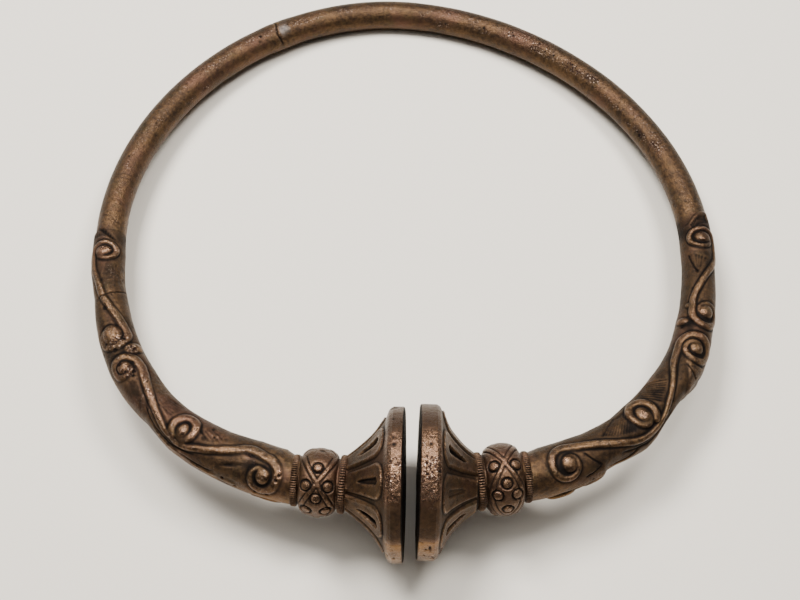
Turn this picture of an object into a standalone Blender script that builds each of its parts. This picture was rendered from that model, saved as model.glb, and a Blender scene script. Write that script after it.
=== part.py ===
"""Bronze buffer torc, cast in one piece and lying on a table.

The hoop is a rod bent by hand into an oval. Towards its two ends it thickens into arms that carry
raised scrolls, and each arm ends in a knob between two collars and a wide buffer. The torc leans
on its two buffers and on the back of the hoop, where small flats keep it from rocking.

A place on an arm is given by its run, the distance along the hoop from the buffer's face, and by
its turn, the angle round the rod: 0 degrees points away from the middle of the hoop, 90 degrees up
and 180 degrees to the middle. Lengths are in metres, with +Z up and the buffers towards -Y.
"""

import math
from dataclasses import dataclass

import bmesh
import bpy
import numpy as np
from mathutils import Matrix, Vector

MM = 0.001

# What the joins need: the weld of a tube's caps, how far a raised form reaches below the skin so
# that it meets the flat facets, and the slab that stands for the table
WELD = 0.01 * MM
SETTLE = 0.15 * MM
SLAB_THICKNESS = 4 * MM

# Hoop: four quarters of a superellipse, reaches measured from its middle to the rod's axis
REACH_LEFT = 63.5 * MM
REACH_RIGHT = 71.5 * MM
REACH_FRONT = 62.5 * MM
REACH_BACK = 66.9 * MM
SQUARENESS_FRONT_LEFT = 2.42
SQUARENESS_FRONT_RIGHT = 2.63
SQUARENESS_BACK_LEFT = 1.93
SQUARENESS_BACK_RIGHT = 1.89
GAP = 2.8 * MM
GAP_OFFSET = 6.8 * MM
HOOP_DIAMETER = 6.9 * MM
HOOP_SIDES = 12
HOOP_SPACING = 9.0 * MM
REST_FLAT_DEPTH = 0.12 * MM

# Arms: the rod next to the outer collar, the small step where the scrolls begin, and the scrolls'
# strands, each of which ends at a share of the radius of the dome inside its coil
ARM_DIAMETER = 10.2 * MM
ARM_STEP = 0.3 * MM
ARM_SPACING = 6.5 * MM
ARM_EASE = 20.0 * MM
STRAND_WIDTH = 1.7 * MM
STRAND_SIDES = 6
PLAIN_SIDES = 4
STRAND_PROUD = 0.75 * MM
STRAND_SPACING = 3.0 * MM
STRAND_END = 0.75
DOME_OVER = 0.15 * MM
COIL_STEP_TOP = math.radians(36)
COIL_STEP_BELOW = math.radians(60)

# Terminals: a buffer, a collar, the knob and a second collar
BUFFER_DIAMETER = 32.9 * MM
RIM_ROUND = 0.5 * MM
FLARE_DIAMETER = 29.8 * MM
FLARE_HOLLOW = 0.25 * MM
BUFFER_LENGTH = 11.9 * MM
NECK_DIAMETER = 10.2 * MM
BUFFER_SIDES = 28
INNER_COLLAR_DIAMETER = 12.4 * MM
OUTER_COLLAR_DIAMETER = 11.0 * MM
COLLAR_WIDTH = 2.1 * MM
COLLAR_ROUND = 0.5 * MM
KNOB_LENGTH = 7.8 * MM
KNOB_WAIST = 10.4 * MM
KNOB_SIDES = 15
OVERLAP = 0.6 * MM

# Petals round each buffer's flare
PETAL_COUNT = 8
PETAL_RAISE = 0.55 * MM
PETAL_FILL = 0.94
PETAL_MARGIN = 0.3 * MM
SLIT_MARGIN = 1.2 * MM
SLIT_LENGTH = 5.2 * MM
SLIT_WIDTH = 1.0 * MM
SLIT_DEPTH = 0.7 * MM

# Fillets and bosses round each knob
FILLET_WIDTH = 0.9 * MM
FILLET_PROUD = 0.3 * MM
FILLET_REACH = 3.0 * MM
OVAL_COUNT = 3
FILLET_POINTS = 18
FILLET_TUCK = 0.8
BOSS_DIAMETER = 1.7 * MM
BOSS_PROUD = 0.4 * MM
BOSS_ALONG = 1.7 * MM
BOSS_ROUND = math.radians(25)

UP, DOWN = 1, -1
SIDE_COIL = 3


@dataclass(frozen=True)
class Coil:
    """One scroll: where its middle lies, how wide it is and how it winds inwards."""

    run: float
    turn: float
    radius: float
    dome: float
    begins: float
    windings: float


@dataclass(frozen=True)
class Arm:
    """One end of the torc, with its own wear and its own places for the scrolls."""

    name: str
    side: int
    step_run: float
    rim_width: float
    knob_diameter: float
    face_inset: float
    knob_inset: float
    face_up: float
    crossing: float
    coils: tuple
    long_stem: tuple
    short_stem: tuple


RIGHT = Arm(
    name="right",
    side=1,
    step_run=108.0 * MM,
    rim_width=4.3 * MM,
    knob_diameter=15.4 * MM,
    face_inset=0.85 * MM,
    knob_inset=-0.2 * MM,
    face_up=0.6,
    crossing=95.0,
    coils=(
        Coil(101.6 * MM, 80, 3.4 * MM, 1.3 * MM, begins=-90, windings=1.35),
        Coil(81.5 * MM, 68, 3.5 * MM, 1.5 * MM, begins=90, windings=1.0),
        Coil(71.8 * MM, 78, 3.8 * MM, 1.2 * MM, begins=90, windings=-1.45),
        Coil(51.0 * MM, 95, 3.4 * MM, 1.3 * MM, begins=-50, windings=1.25),
        Coil(31.0 * MM, 74, 3.6 * MM, 1.6 * MM, begins=75, windings=1.1),
    ),
    short_stem=((97.6, 22), (94.6, 46), (91.6, 76), (88.6, 98), (85.4, 114)),
    long_stem=((67.0, 119), (62.4, 94), (58.0, 70), (54.6, 50), (51.0, 41), (47.0, 47), (43.0, 70), (38.0, 96)),
)
LEFT = Arm(
    name="left",
    side=-1,
    step_run=104.5 * MM,
    rim_width=3.8 * MM,
    knob_diameter=14.5 * MM,
    face_inset=0.15 * MM,
    knob_inset=-0.75 * MM,
    face_up=2.0,
    crossing=58.0,
    coils=(
        Coil(99.0 * MM, 90, 3.1 * MM, 1.5 * MM, begins=-90, windings=1.1),
        Coil(76.8 * MM, 86, 3.5 * MM, 2.0 * MM, begins=90, windings=0.8),
        Coil(68.2 * MM, 78, 3.2 * MM, 1.5 * MM, begins=90, windings=-1.0),
        Coil(48.2 * MM, 80, 3.0 * MM, 1.3 * MM, begins=-50, windings=1.1),
        Coil(29.8 * MM, 62, 3.5 * MM, 1.6 * MM, begins=75, windings=1.1),
    ),
    short_stem=((95.2, 46), (92.0, 64), (88.0, 80), (84.2, 100), (80.6, 120)),
    long_stem=((64.6, 108), (61.0, 96), (57.4, 82), (54.0, 64), (50.6, 50), (46.8, 46), (42.6, 62), (36.6, 90)),
)
ARMS = (RIGHT, LEFT)

# Sizes and places that follow from the ones above
COLLAR_STARTS = (BUFFER_LENGTH, BUFFER_LENGTH + COLLAR_WIDTH + KNOB_LENGTH)
KNOB_START = BUFFER_LENGTH + COLLAR_WIDTH
KNOB_MIDDLE = KNOB_START + KNOB_LENGTH / 2
TERMINAL_LENGTH = COLLAR_STARTS[1] + COLLAR_WIDTH
LEAN = math.asin((BUFFER_DIAMETER - HOOP_DIAMETER) / 2 / (REACH_FRONT + REACH_BACK))
FRONT_EXTENT = REACH_FRONT * math.cos(LEAN) + BUFFER_DIAMETER / 2
BACK_EXTENT = (REACH_BACK + HOOP_DIAMETER / 2) * math.cos(LEAN)
HOOP_MIDDLE = Vector((
    (REACH_LEFT - REACH_RIGHT) / 2,
    (FRONT_EXTENT - BACK_EXTENT) / 2,
    HOOP_DIAMETER / 2 - REST_FLAT_DEPTH + REACH_BACK * math.sin(LEAN),
))


def hoop_outline(count=7200):
    """Points once round the hoop's axis, anticlockwise from the back, and the length up to each."""
    bearing = np.linspace(-math.pi, math.pi, count)
    across, along = np.sin(bearing), np.cos(bearing)
    front, right = along > 0, across > 0
    front_power = np.where(right, SQUARENESS_FRONT_RIGHT, SQUARENESS_FRONT_LEFT)
    back_power = np.where(right, SQUARENESS_BACK_RIGHT, SQUARENESS_BACK_LEFT)
    power = 2 / np.where(front, front_power, back_power)
    x = np.where(right, REACH_RIGHT, REACH_LEFT) * np.sign(across) * np.abs(across) ** power
    y = -np.where(front, REACH_FRONT, REACH_BACK) * np.sign(along) * np.abs(along) ** power
    steps = np.hypot(np.diff(x), np.diff(y))
    return x, y, np.concatenate(([0.0], np.cumsum(steps)))


OUTLINE_X, OUTLINE_Y, OUTLINE_LENGTH = hoop_outline()
HOOP_LENGTH = OUTLINE_LENGTH[-1]
ON_FRONT = np.flatnonzero((OUTLINE_Y < 0) & (OUTLINE_X >= GAP_OFFSET))[0]
GAP_LENGTH_MARK = OUTLINE_LENGTH[ON_FRONT]


def smooth(value):
    """Ease from 0 to 1 with level ends."""
    t = min(max(value, 0.0), 1.0)
    return t * t * (3 - 2 * t)


def on_outline(arm, run):
    """The hoop's axis in its own plane at a run, by the outline alone."""
    mark = (GAP_LENGTH_MARK + arm.side * (GAP / 2 + run)) % HOOP_LENGTH
    return Vector((np.interp(mark, OUTLINE_LENGTH, OUTLINE_X), np.interp(mark, OUTLINE_LENGTH, OUTLINE_Y), 0.0))


def inset(arm, run):
    """How far the axis lies inside the outline: the terminals are straight, and an arm eases out of them."""
    if run < TERMINAL_LENGTH:
        return arm.face_inset + (arm.knob_inset - arm.face_inset) * run / TERMINAL_LENGTH
    return arm.knob_inset * (1 - smooth((run - TERMINAL_LENGTH) / ARM_EASE))


def axis_point(arm, run):
    """The rod's axis in the hoop's plane, the direction away from the gap and the outward direction."""
    half_step = 0.3 * MM
    ahead = on_outline(arm, run + half_step) - on_outline(arm, run - half_step)
    ahead.normalize()
    outward = Vector((ahead.y, -ahead.x, 0.0)) * arm.side
    return on_outline(arm, run) - outward * inset(arm, run), ahead, outward


def to_table(point):
    """From the hoop's plane to the table: the front is raised by the lean."""
    return HOOP_MIDDLE + Matrix.Rotation(-LEAN, 3, "X") @ point


def skin(arm, run):
    """Radius of the rod: an arm swells by half a cosine from the step to the outer collar."""
    hoop_radius = HOOP_DIAMETER / 2
    if run >= arm.step_run:
        return hoop_radius
    share = (run - TERMINAL_LENGTH) / (arm.step_run - TERMINAL_LENGTH)
    swell = 0.5 * (1 + math.cos(math.pi * min(max(share, 0.0), 1.0)))
    return hoop_radius + ARM_STEP + (ARM_DIAMETER / 2 - hoop_radius - ARM_STEP) * swell


def on_arm(arm, run, turn, lift=0.0):
    """A point at a run and a turn in degrees, lifted off the rod's skin."""
    centre, _, outward = axis_point(arm, run)
    angle = math.radians(turn)
    reach = skin(arm, run) + lift
    offset = outward * math.cos(angle) + Vector((0, 0, math.sin(angle)))
    return to_table(centre + offset * reach)


def skin_frame(arm, run, turn, lift=0.0):
    """A frame on an arm's skin whose Z points off the metal and whose X points along the run."""
    middle = on_arm(arm, run, turn, lift)
    off = (on_arm(arm, run, turn, lift + MM) - middle).normalized()
    along = (on_arm(arm, run + 0.1 * MM, turn, lift) - middle).normalized()
    return oriented(middle, off, along)


def oriented(origin, z_axis, x_axis):
    """A placing with the given origin, Z axis and, as nearly as it can, X axis."""
    y_axis = z_axis.cross(x_axis).normalized()
    x_axis = y_axis.cross(z_axis).normalized()
    placing = Matrix((x_axis, y_axis, z_axis)).transposed().to_4x4()
    placing.translation = origin
    return placing


def terminal_frame(arm, start, end):
    """A placing whose Z runs along a straight stretch of terminal and whose X points outward."""
    first, _, outward = axis_point(arm, start)
    last = axis_point(arm, end)[0]
    turned = Matrix.Rotation(-LEAN, 3, "X")
    return oriented(to_table(first), (turned @ (last - first)).normalized(), turned @ outward)


def buffer_frame(arm):
    """The buffer's placing: both faces stand square to the table's X axis and look up a little."""
    drop = math.radians(arm.face_up)
    away = Vector((arm.side * math.cos(drop), 0, -math.sin(drop)))
    return oriented(to_table(axis_point(arm, 0.0)[0]), away, Vector((0, -1, 0)))


def knob_frame(arm):
    """The placing of the knob and its collars, with its origin in line with the buffer's face."""
    placing = terminal_frame(arm, COLLAR_STARTS[0], TERMINAL_LENGTH)
    placing.translation -= placing.to_3x3() @ Vector((0, 0, COLLAR_STARTS[0]))
    return placing


def link(name, mesh, collection, placing=None):
    """Put a mesh into a collection, at its placing."""
    body = bpy.data.objects.new(name, mesh)
    collection.objects.link(body)
    if placing is not None:
        body.matrix_world = placing
    return body


def as_guide(body):
    """Mark a body as a shape that is joined to the torc or cut from it."""
    body.hide_render = True
    body.display_type = "WIRE"
    return body


def face_out(shape):
    """Turn the faces of a closed shape outwards."""
    if shape.calc_volume(signed=True) < 0:
        bmesh.ops.reverse_faces(shape, faces=shape.faces)


def primitive(name, make, placing, collection):
    """A body made from one bmesh primitive by a function that fills the bmesh."""
    shape = bmesh.new()
    make(shape)
    mesh = bpy.data.meshes.new(name)
    shape.to_mesh(mesh)
    shape.free()
    return as_guide(link(name, mesh, collection, placing))


def rod(name, points, radii, collection, sides):
    """A round rod of changing radius through the points, made a mesh with its caps welded."""
    curve = bpy.data.curves.new(name, "CURVE")
    curve.dimensions = "3D"
    curve.twist_mode = "MINIMUM"
    curve.bevel_depth = 1.0
    curve.bevel_resolution = (sides - 4) // 2
    curve.use_fill_caps = True
    spline = curve.splines.new("POLY")
    spline.points.add(len(points) - 1)
    for knot, point, radius in zip(spline.points, points, radii):
        knot.co = (*point, 1.0)
        knot.radius = radius
    guide = link(name + "_line", curve, collection)
    bpy.context.view_layer.update()
    mesh = bpy.data.meshes.new_from_object(guide.evaluated_get(bpy.context.evaluated_depsgraph_get()))
    bpy.data.objects.remove(guide)
    weld = bmesh.new()
    weld.from_mesh(mesh)
    bmesh.ops.remove_doubles(weld, verts=weld.verts, dist=WELD)
    face_out(weld)
    weld.to_mesh(mesh)
    weld.free()
    mesh.materials.clear()
    return link(name, mesh, collection)


def turned(name, profile, sides, placing, collection):
    """A solid turned round its Z axis from (radius, height) points that run from top to bottom."""
    mesh = bpy.data.meshes.new(name)
    points = [(radius, 0.0, height) for radius, height in profile]
    mesh.from_pydata(points, [(i, i + 1) for i in range(len(points) - 1)], [])
    body = link(name, mesh, collection, placing)
    screw = body.modifiers.new("Turning", "SCREW")
    screw.axis = "Z"
    screw.steps = sides
    screw.render_steps = sides
    screw.use_merge_vertices = True
    screw.merge_threshold = WELD
    return as_guide(body)


def flare_radius(arm, distance):
    """Radius of the buffer's flare at a distance behind the face: a straight cone, a little hollow."""
    share = (distance - arm.rim_width) / (BUFFER_LENGTH - arm.rim_width)
    straight = FLARE_DIAMETER / 2 + (NECK_DIAMETER - FLARE_DIAMETER) / 2 * share
    return straight - FLARE_HOLLOW * math.sin(math.pi * min(max(share, 0.0), 1.0))


def flare_slope(arm):
    """The flare's angle to the buffer's axis."""
    return math.atan2((FLARE_DIAMETER - NECK_DIAMETER) / 2, BUFFER_LENGTH - arm.rim_width)


def buffer_profile(arm):
    """Half outline of a buffer from the neck, down the flare and over the rim to the face."""
    radius = BUFFER_DIAMETER / 2
    neck = BUFFER_LENGTH + OVERLAP
    profile = [(0.0, neck), (NECK_DIAMETER / 2, neck)]
    flare_steps = 2
    for i in range(flare_steps + 1):
        distance = BUFFER_LENGTH + (arm.rim_width - BUFFER_LENGTH) * i / flare_steps
        profile.append((flare_radius(arm, distance), distance))
    profile.append((radius - RIM_ROUND, arm.rim_width))
    profile.append((radius, arm.rim_width - RIM_ROUND))
    profile.append((radius, RIM_ROUND))
    profile.append((radius - RIM_ROUND, 0.0))
    profile.append((0.0, 0.0))
    return profile


def knob_radius(arm, distance):
    """Radius of the knob's barrel at a distance from its middle: an arc of an ellipse over its waist."""
    share = min(abs(distance) / (KNOB_LENGTH / 2), 1.0)
    return KNOB_WAIST / 2 + (arm.knob_diameter - KNOB_WAIST) / 2 * math.sqrt(1 - share * share)


def knob_profile(arm):
    """Half outline of the outer collar, the knob and the inner collar, in one piece."""
    inner, outer = COLLAR_STARTS
    profile = [(0.0, TERMINAL_LENGTH)]
    profile += collar_profile(outer, OUTER_COLLAR_DIAMETER / 2)
    profile += [(knob_radius(arm, d), KNOB_MIDDLE + d) for d in barrel_stations()]
    profile += collar_profile(inner, INNER_COLLAR_DIAMETER / 2)
    profile.append((0.0, inner))
    return profile


def collar_profile(start, radius):
    """A collar's rounded band, from its far edge to its near edge."""
    end = start + COLLAR_WIDTH
    return [
        (radius - COLLAR_ROUND, end),
        (radius, end - COLLAR_ROUND),
        (radius, start + COLLAR_ROUND),
        (radius - COLLAR_ROUND, start),
    ]


def barrel_stations():
    """Heights of the barrel's rings from top to bottom, closest together at its ends."""
    rings = 5
    angles = [math.pi * (i + 0.5) / rings for i in range(rings)]
    return [KNOB_LENGTH / 2 * math.cos(angle) for angle in angles]


def on_flare(arm, distance, bearing, lift):
    """A point on the flare, off its surface, with the bearing counted round the buffer's axis."""
    slope = flare_slope(arm)
    out = flare_radius(arm, distance) + lift * math.cos(slope)
    local = Vector((out * math.cos(bearing), out * math.sin(bearing), distance + lift * math.sin(slope)))
    return buffer_frame(arm) @ local


def bent_ball(name, place, segments, rings, collection):
    """A ball whose surface points are sent by place(along, across, up), each from -1 to 1."""
    shape = bmesh.new()
    bmesh.ops.create_uvsphere(shape, u_segments=segments, v_segments=rings, radius=1.0)
    for vertex in shape.verts:
        vertex.co = place(vertex.co.x, vertex.co.y, vertex.co.z)
    face_out(shape)
    mesh = bpy.data.meshes.new(name)
    shape.to_mesh(mesh)
    shape.free()
    return as_guide(link(name, mesh, collection))


def blunt(value):
    """Push a share from -1 to 1 towards its ends, so that a round form grows squarer."""
    return math.sin(value * math.pi / 2)


def petal(arm, index, collection):
    """A broad petal with blunt ends that widens towards the rim, as the flare does."""
    near, far = arm.rim_width + PETAL_MARGIN, BUFFER_LENGTH
    half_angle = math.pi / PETAL_COUNT * PETAL_FILL
    bearing = math.tau * (index + 0.5) / PETAL_COUNT

    def place(along, across, up):
        distance = (near + far) / 2 + (near - far) / 2 * blunt(along)
        lift = up * (PETAL_RAISE + SETTLE) - SETTLE
        return on_flare(arm, distance, bearing + blunt(across) * half_angle, lift)

    return bent_ball(f"{arm.name}_petal_{index}", place, 8, 4, collection)


def slit(arm, index, collection):
    """The narrow cut down a petal's middle."""
    slant = math.cos(flare_slope(arm))
    middle = arm.rim_width + PETAL_MARGIN + SLIT_MARGIN + SLIT_LENGTH / 2 * slant
    bearing = math.tau * (index + 0.5) / PETAL_COUNT

    def place(along, across, up):
        distance = middle - along * SLIT_LENGTH / 2 * slant
        angle = bearing + across * SLIT_WIDTH / 2 / flare_radius(arm, distance)
        return on_flare(arm, distance, angle, PETAL_RAISE + up * SLIT_DEPTH)

    return bent_ball(f"{arm.name}_slit_{index}", place, 5, 3, collection)


def on_knob(arm, distance, turn, lift):
    """A point off the barrel, at a distance from its middle along the run and a turn in radians."""
    radius = knob_radius(arm, distance) + lift
    local = Vector((radius * math.cos(turn), -arm.side * radius * math.sin(turn), KNOB_MIDDLE + distance))
    return knob_frame(arm) @ local


def fillet(arm, sense, collection):
    """Half of the raised band that winds twice round the knob and crosses itself between the ovals."""
    overlap = math.radians(4)
    start = math.radians(arm.crossing) + math.pi / OVAL_COUNT
    turns = np.linspace(start - overlap, start + math.tau + overlap, FILLET_POINTS)
    points = []
    for turn in turns:
        distance = sense * FILLET_REACH * math.sin(OVAL_COUNT / 2 * (turn - math.radians(arm.crossing)))
        points.append(on_knob(arm, distance, turn, FILLET_PROUD - FILLET_WIDTH / 2))
    radii = [FILLET_WIDTH / 2] * len(points)
    if sense < 0:
        radii[0] = radii[-1] = FILLET_WIDTH / 2 * FILLET_TUCK
    name = f"{arm.name}_fillet_{'a' if sense > 0 else 'b'}"
    return as_guide(rod(name, points, radii, collection, sides=PLAIN_SIDES))


def boss(arm, name, distance, turn, collection):
    """A small round boss on the knob."""
    middle = on_knob(arm, distance, turn, -SETTLE)
    off = (on_knob(arm, distance, turn, MM) - middle).normalized()
    placing = oriented(middle, off, Vector((0.3, 0.2, 1.0)))
    radius = BOSS_DIAMETER / 2

    def fill(shape):
        bmesh.ops.create_uvsphere(shape, u_segments=6, v_segments=3, radius=radius)
        bmesh.ops.scale(shape, vec=(1.0, 1.0, (BOSS_PROUD + SETTLE) / radius), verts=shape.verts)

    return primitive(f"{arm.name}_boss_{name}", fill, placing, collection)


def knob_bosses(arm, collection):
    """Four bosses in a diamond in each oval, and one in the field on each side of a crossing."""
    crossing = math.radians(arm.crossing)
    for index in range(OVAL_COUNT):
        cross = crossing + math.tau * index / OVAL_COUNT
        middle = cross + math.pi / OVAL_COUNT
        for side in (-1, 1):
            boss(arm, f"{index}_along_{side}", side * BOSS_ALONG, middle, collection)
            boss(arm, f"{index}_round_{side}", 0.0, middle + side * BOSS_ROUND, collection)
            boss(arm, f"{index}_field_{side}", side * BOSS_ALONG, cross, collection)


def coil_route(arm, coil, face, step):
    """(run, turn) points from a coil's outer end to its inner end, winding in at an even rate."""
    count = max(int(abs(coil.windings) * math.tau / step), 4)
    inner = coil.dome * STRAND_END
    route = []
    for share in np.linspace(0.0, 1.0, count):
        angle = math.radians(coil.begins) + coil.windings * math.tau * share
        reach = coil.radius + (inner - coil.radius) * share
        run = coil.run + reach * math.cos(angle)
        turn = coil.turn + math.degrees(reach * math.sin(angle) / skin(arm, coil.run))
        route.append((run, face * turn))
    return route


def stem_route(stem, before, after, face):
    """(run, turn) points on a smooth curve from one coil's outer end to another's."""
    way = [np.array(before[-2]), np.array(before[-1])]
    way += [np.array((run * MM, face * turn)) for run, turn in stem]
    way += [np.array(after[0]), np.array(after[1])]
    route = []
    for first, second, third, fourth in zip(way, way[1:], way[2:], way[3:]):
        pieces = max(int(abs(third[0] - second[0]) / STRAND_SPACING), 1)
        for share in np.linspace(0.0, 1.0, pieces, endpoint=False):
            route.append(between(first, second, third, fourth, share))
    return route[1:]


def between(first, second, third, fourth, share):
    """A point between the second and the third of four points, on a smooth curve through all."""
    slope_in, slope_out = (third - first) / 2, (fourth - second) / 2
    t2, t3 = share ** 2, share ** 3
    start_part = second * (2 * t3 - 3 * t2 + 1) + slope_in * (t3 - 2 * t2 + share)
    end_part = third * (3 * t2 - 2 * t3) + slope_out * (t3 - t2)
    return tuple(start_part + end_part)


def strand(arm, name, route, sides, collection):
    """A raised strand along (run, turn) points, sunk into the rod so that a part stands proud."""
    lift = STRAND_PROUD - STRAND_WIDTH / 2
    points = [on_arm(arm, run, turn, lift) for run, turn in route]
    return as_guide(rod(f"{arm.name}_{name}", points, [STRAND_WIDTH / 2] * len(points), collection, sides))


def dome(arm, coil, name, face, collection):
    """The rounded boss in the middle of a coil, sunk so that its rim meets the rod's round side."""
    sunk = coil.dome ** 2 / (2 * skin(arm, coil.run)) + SETTLE
    placing = skin_frame(arm, coil.run, face * coil.turn, -sunk)
    height = STRAND_PROUD + DOME_OVER + sunk

    def fill(shape):
        bmesh.ops.create_uvsphere(shape, u_segments=7, v_segments=4, radius=coil.dome)
        bmesh.ops.scale(shape, vec=(1.0, 1.0, height / coil.dome), verts=shape.verts)

    return primitive(f"{arm.name}_{name}", fill, placing, collection)


def scrolls(arm, face, collection):
    """The scrollwork of an arm: two double scrolls on each face, and a side coil on the upper one."""
    label = "top" if face == UP else "below"
    step, sides = (COIL_STEP_TOP, STRAND_SIDES) if face == UP else (COIL_STEP_BELOW, PLAIN_SIDES)
    first, second, third, side_coil, last = [coil_route(arm, coil, face, step) for coil in arm.coils]
    upper = first[::-1] + stem_route(arm.short_stem, first[::-1], second, face) + second
    lower = third[::-1] + stem_route(arm.long_stem, third[::-1], last, face) + last
    strand(arm, f"upper_scroll_{label}", upper, sides, collection)
    strand(arm, f"lower_scroll_{label}", lower, sides, collection)
    if face == UP:
        strand(arm, f"side_scroll_{label}", side_coil, sides, collection)
    for index, coil in enumerate(arm.coils):
        if face == UP or index != SIDE_COIL:
            dome(arm, coil, f"dome_{index + 1}_{label}", face, collection)


def terminal(arm, joined, cut):
    """The buffer, the collars and the knob of one arm, with their ornament."""
    turned(f"{arm.name}_buffer", buffer_profile(arm), BUFFER_SIDES, buffer_frame(arm), joined)
    turned(f"{arm.name}_knob", knob_profile(arm), KNOB_SIDES, knob_frame(arm), joined)
    for index in range(PETAL_COUNT):
        petal(arm, index, joined)
        slit(arm, index, cut)
    for sense in (-1, 1):
        fillet(arm, sense, joined)
    knob_bosses(arm, joined)


def arm_stations(arm):
    """Runs of the rod's rings along one arm, with two close together at the step."""
    start = TERMINAL_LENGTH - COLLAR_WIDTH
    count = math.ceil((arm.step_run - start) / ARM_SPACING)
    return list(np.linspace(start, arm.step_run - 0.2 * MM, count)) + [arm.step_run]


def hoop_rod(collection):
    """The plain rod from one outer collar round the back to the other, as stout as a round one."""
    right = arm_stations(RIGHT)
    left = arm_stations(LEFT)
    plain = HOOP_LENGTH - GAP - right[-1] - left[-1]
    count = math.ceil(plain / HOOP_SPACING)
    behind = [right[-1] + plain * i / count for i in range(1, count)]
    places = [(RIGHT, run) for run in right + behind]
    places += [(LEFT, run) for run in reversed(left)]
    points = [to_table(axis_point(arm, run)[0]) for arm, run in places]
    facet_angle = math.tau / HOOP_SIDES
    corner = math.sqrt(facet_angle / math.sin(facet_angle))
    radii = [skin(arm, run) * corner for arm, run in places]
    return rod("torc", points, radii, collection, HOOP_SIDES)


def rest_slab(collection):
    """A slab under the table's surface that gives the torc its small flats."""
    width = REACH_LEFT + REACH_RIGHT + 2 * BUFFER_DIAMETER
    depth = FRONT_EXTENT + BACK_EXTENT + 2 * BUFFER_DIAMETER

    def fill(shape):
        bmesh.ops.create_cube(shape, size=1.0)
        bmesh.ops.scale(shape, vec=(width, depth, SLAB_THICKNESS), verts=shape.verts)

    return primitive("table_slab", fill, Matrix.Translation((0, 0, -SLAB_THICKNESS / 2)), collection)


def bronze():
    """Brown patinated bronze."""
    material = bpy.data.materials.new("patinated_bronze")
    material.use_nodes = True
    shader = material.node_tree.nodes["Principled BSDF"]
    shader.inputs["Base Color"].default_value = (0.19, 0.095, 0.045, 1.0)
    shader.inputs["Metallic"].default_value = 0.9
    shader.inputs["Roughness"].default_value = 0.42
    return material


def combine(body, name, operation, collection):
    """Join every shape of a collection to a body, or cut them from it."""
    step = body.modifiers.new(name, "BOOLEAN")
    step.operation = operation
    step.operand_type = "COLLECTION"
    step.collection = collection
    step.solver = "EXACT"
    return step


def flatten_rests(body, slab):
    """Cut the body level with the table's surface."""
    step = body.modifiers.new("Rest flats", "BOOLEAN")
    step.operation = "DIFFERENCE"
    step.object = slab
    step.solver = "EXACT"
    return step


def new_collection(name):
    """An empty collection in the scene."""
    collection = bpy.data.collections.new(name)
    bpy.context.scene.collection.children.link(collection)
    return collection


def main():
    """Build the torc from an empty scene."""
    for leftover in list(bpy.data.objects):
        bpy.data.objects.remove(leftover)
    parts = new_collection("buffer_torc")
    joined = new_collection("joined_shapes")
    slits = new_collection("slit_cutters")
    table = new_collection("table_cutter")
    torc = hoop_rod(parts)
    for arm in ARMS:
        terminal(arm, joined, slits)
        for face in (UP, DOWN):
            scrolls(arm, face, joined)
    combine(torc, "Cast together", "UNION", joined)
    combine(torc, "Slits", "DIFFERENCE", slits)
    flatten_rests(torc, rest_slab(table))
    torc.data.materials.append(bronze())
    torc.data.shade_smooth()
    torc.data.set_sharp_from_angle(angle=math.radians(35))


main()
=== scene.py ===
"""Looks of the bronze buffer torc: its carved skin, its patina, and the studio that it lies in.

Every piece is a closed surface worked out as arrays: a grid of places on the cast rod, on a buffer
or on a knob, with the carving added as a height over that skin. Lengths are in millimetres until a
mesh is made, which is in metres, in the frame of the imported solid.

A place on an arm is its run, the distance along the hoop from the buffer's face, and its turn, the
angle round the rod: 0 degrees points away from the middle of the hoop, 90 up and 180 to the middle.
"""

import logging
import math
from dataclasses import dataclass, field
from enum import Enum, IntEnum

import bpy
import numpy as np
from mathutils import Matrix


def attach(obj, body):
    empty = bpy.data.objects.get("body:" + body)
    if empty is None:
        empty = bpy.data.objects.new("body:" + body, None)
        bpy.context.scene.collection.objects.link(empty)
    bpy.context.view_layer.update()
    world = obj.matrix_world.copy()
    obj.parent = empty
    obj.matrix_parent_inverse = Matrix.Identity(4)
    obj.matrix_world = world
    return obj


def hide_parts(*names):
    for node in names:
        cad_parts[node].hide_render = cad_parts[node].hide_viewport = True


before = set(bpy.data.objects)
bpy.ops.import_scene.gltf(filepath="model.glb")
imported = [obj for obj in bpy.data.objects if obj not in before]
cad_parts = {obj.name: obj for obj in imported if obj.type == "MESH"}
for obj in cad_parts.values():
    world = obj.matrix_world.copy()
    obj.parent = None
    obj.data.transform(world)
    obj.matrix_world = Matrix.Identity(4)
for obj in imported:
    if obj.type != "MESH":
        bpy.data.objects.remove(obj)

MM = 0.001
SHARP = math.radians(75.0)
LOG = logging.getLogger("torc")
NODE = "torc"
BODY = "root"

UP = np.array([0.0, 0.0, 1.0])
RIGHTWARD = np.array([1.0, 0.0, 0.0])
HIGH = 9.0

Pair = tuple[float, float]
Triple = tuple[float, float, float]
Corner = tuple[float, float, int]
Row = tuple[float, ...]
Line = tuple[Pair, ...]
Places = tuple[tuple[float, float, float, float, float], ...]
Grid = np.ndarray | float


class Seed(IntEnum):
    """Which pattern of random values a use draws from."""

    STIPPLE = 5
    BROAD_CAST = 11
    FINE_CAST = 12
    BROAD_WOBBLE = 13
    FINE_WOBBLE = 14
    BUFFER = 21
    KNOB = 31
    THICK = 41
    SMALL_PITS = 51
    PATCH = 61
    CROWD = 63
    RIDGE = 64
    LARGE_PITS = 71
    SOLDER = 81
    DARKENING = 91


# Sums on whole arrays


def ease(value: np.ndarray) -> np.ndarray:
    """Go from 0 to 1 with level ends: 3 t squared minus 2 t cubed, t held between 0 and 1."""
    t = np.clip(value, 0.0, 1.0)
    return t * t * (3 - 2 * t)


def hump(distance: np.ndarray, width: Grid) -> np.ndarray:
    """Fall from 1 at no distance as a bell curve: e to the power of minus (distance / width) squared."""
    return np.exp(-np.square(distance / width))


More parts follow.
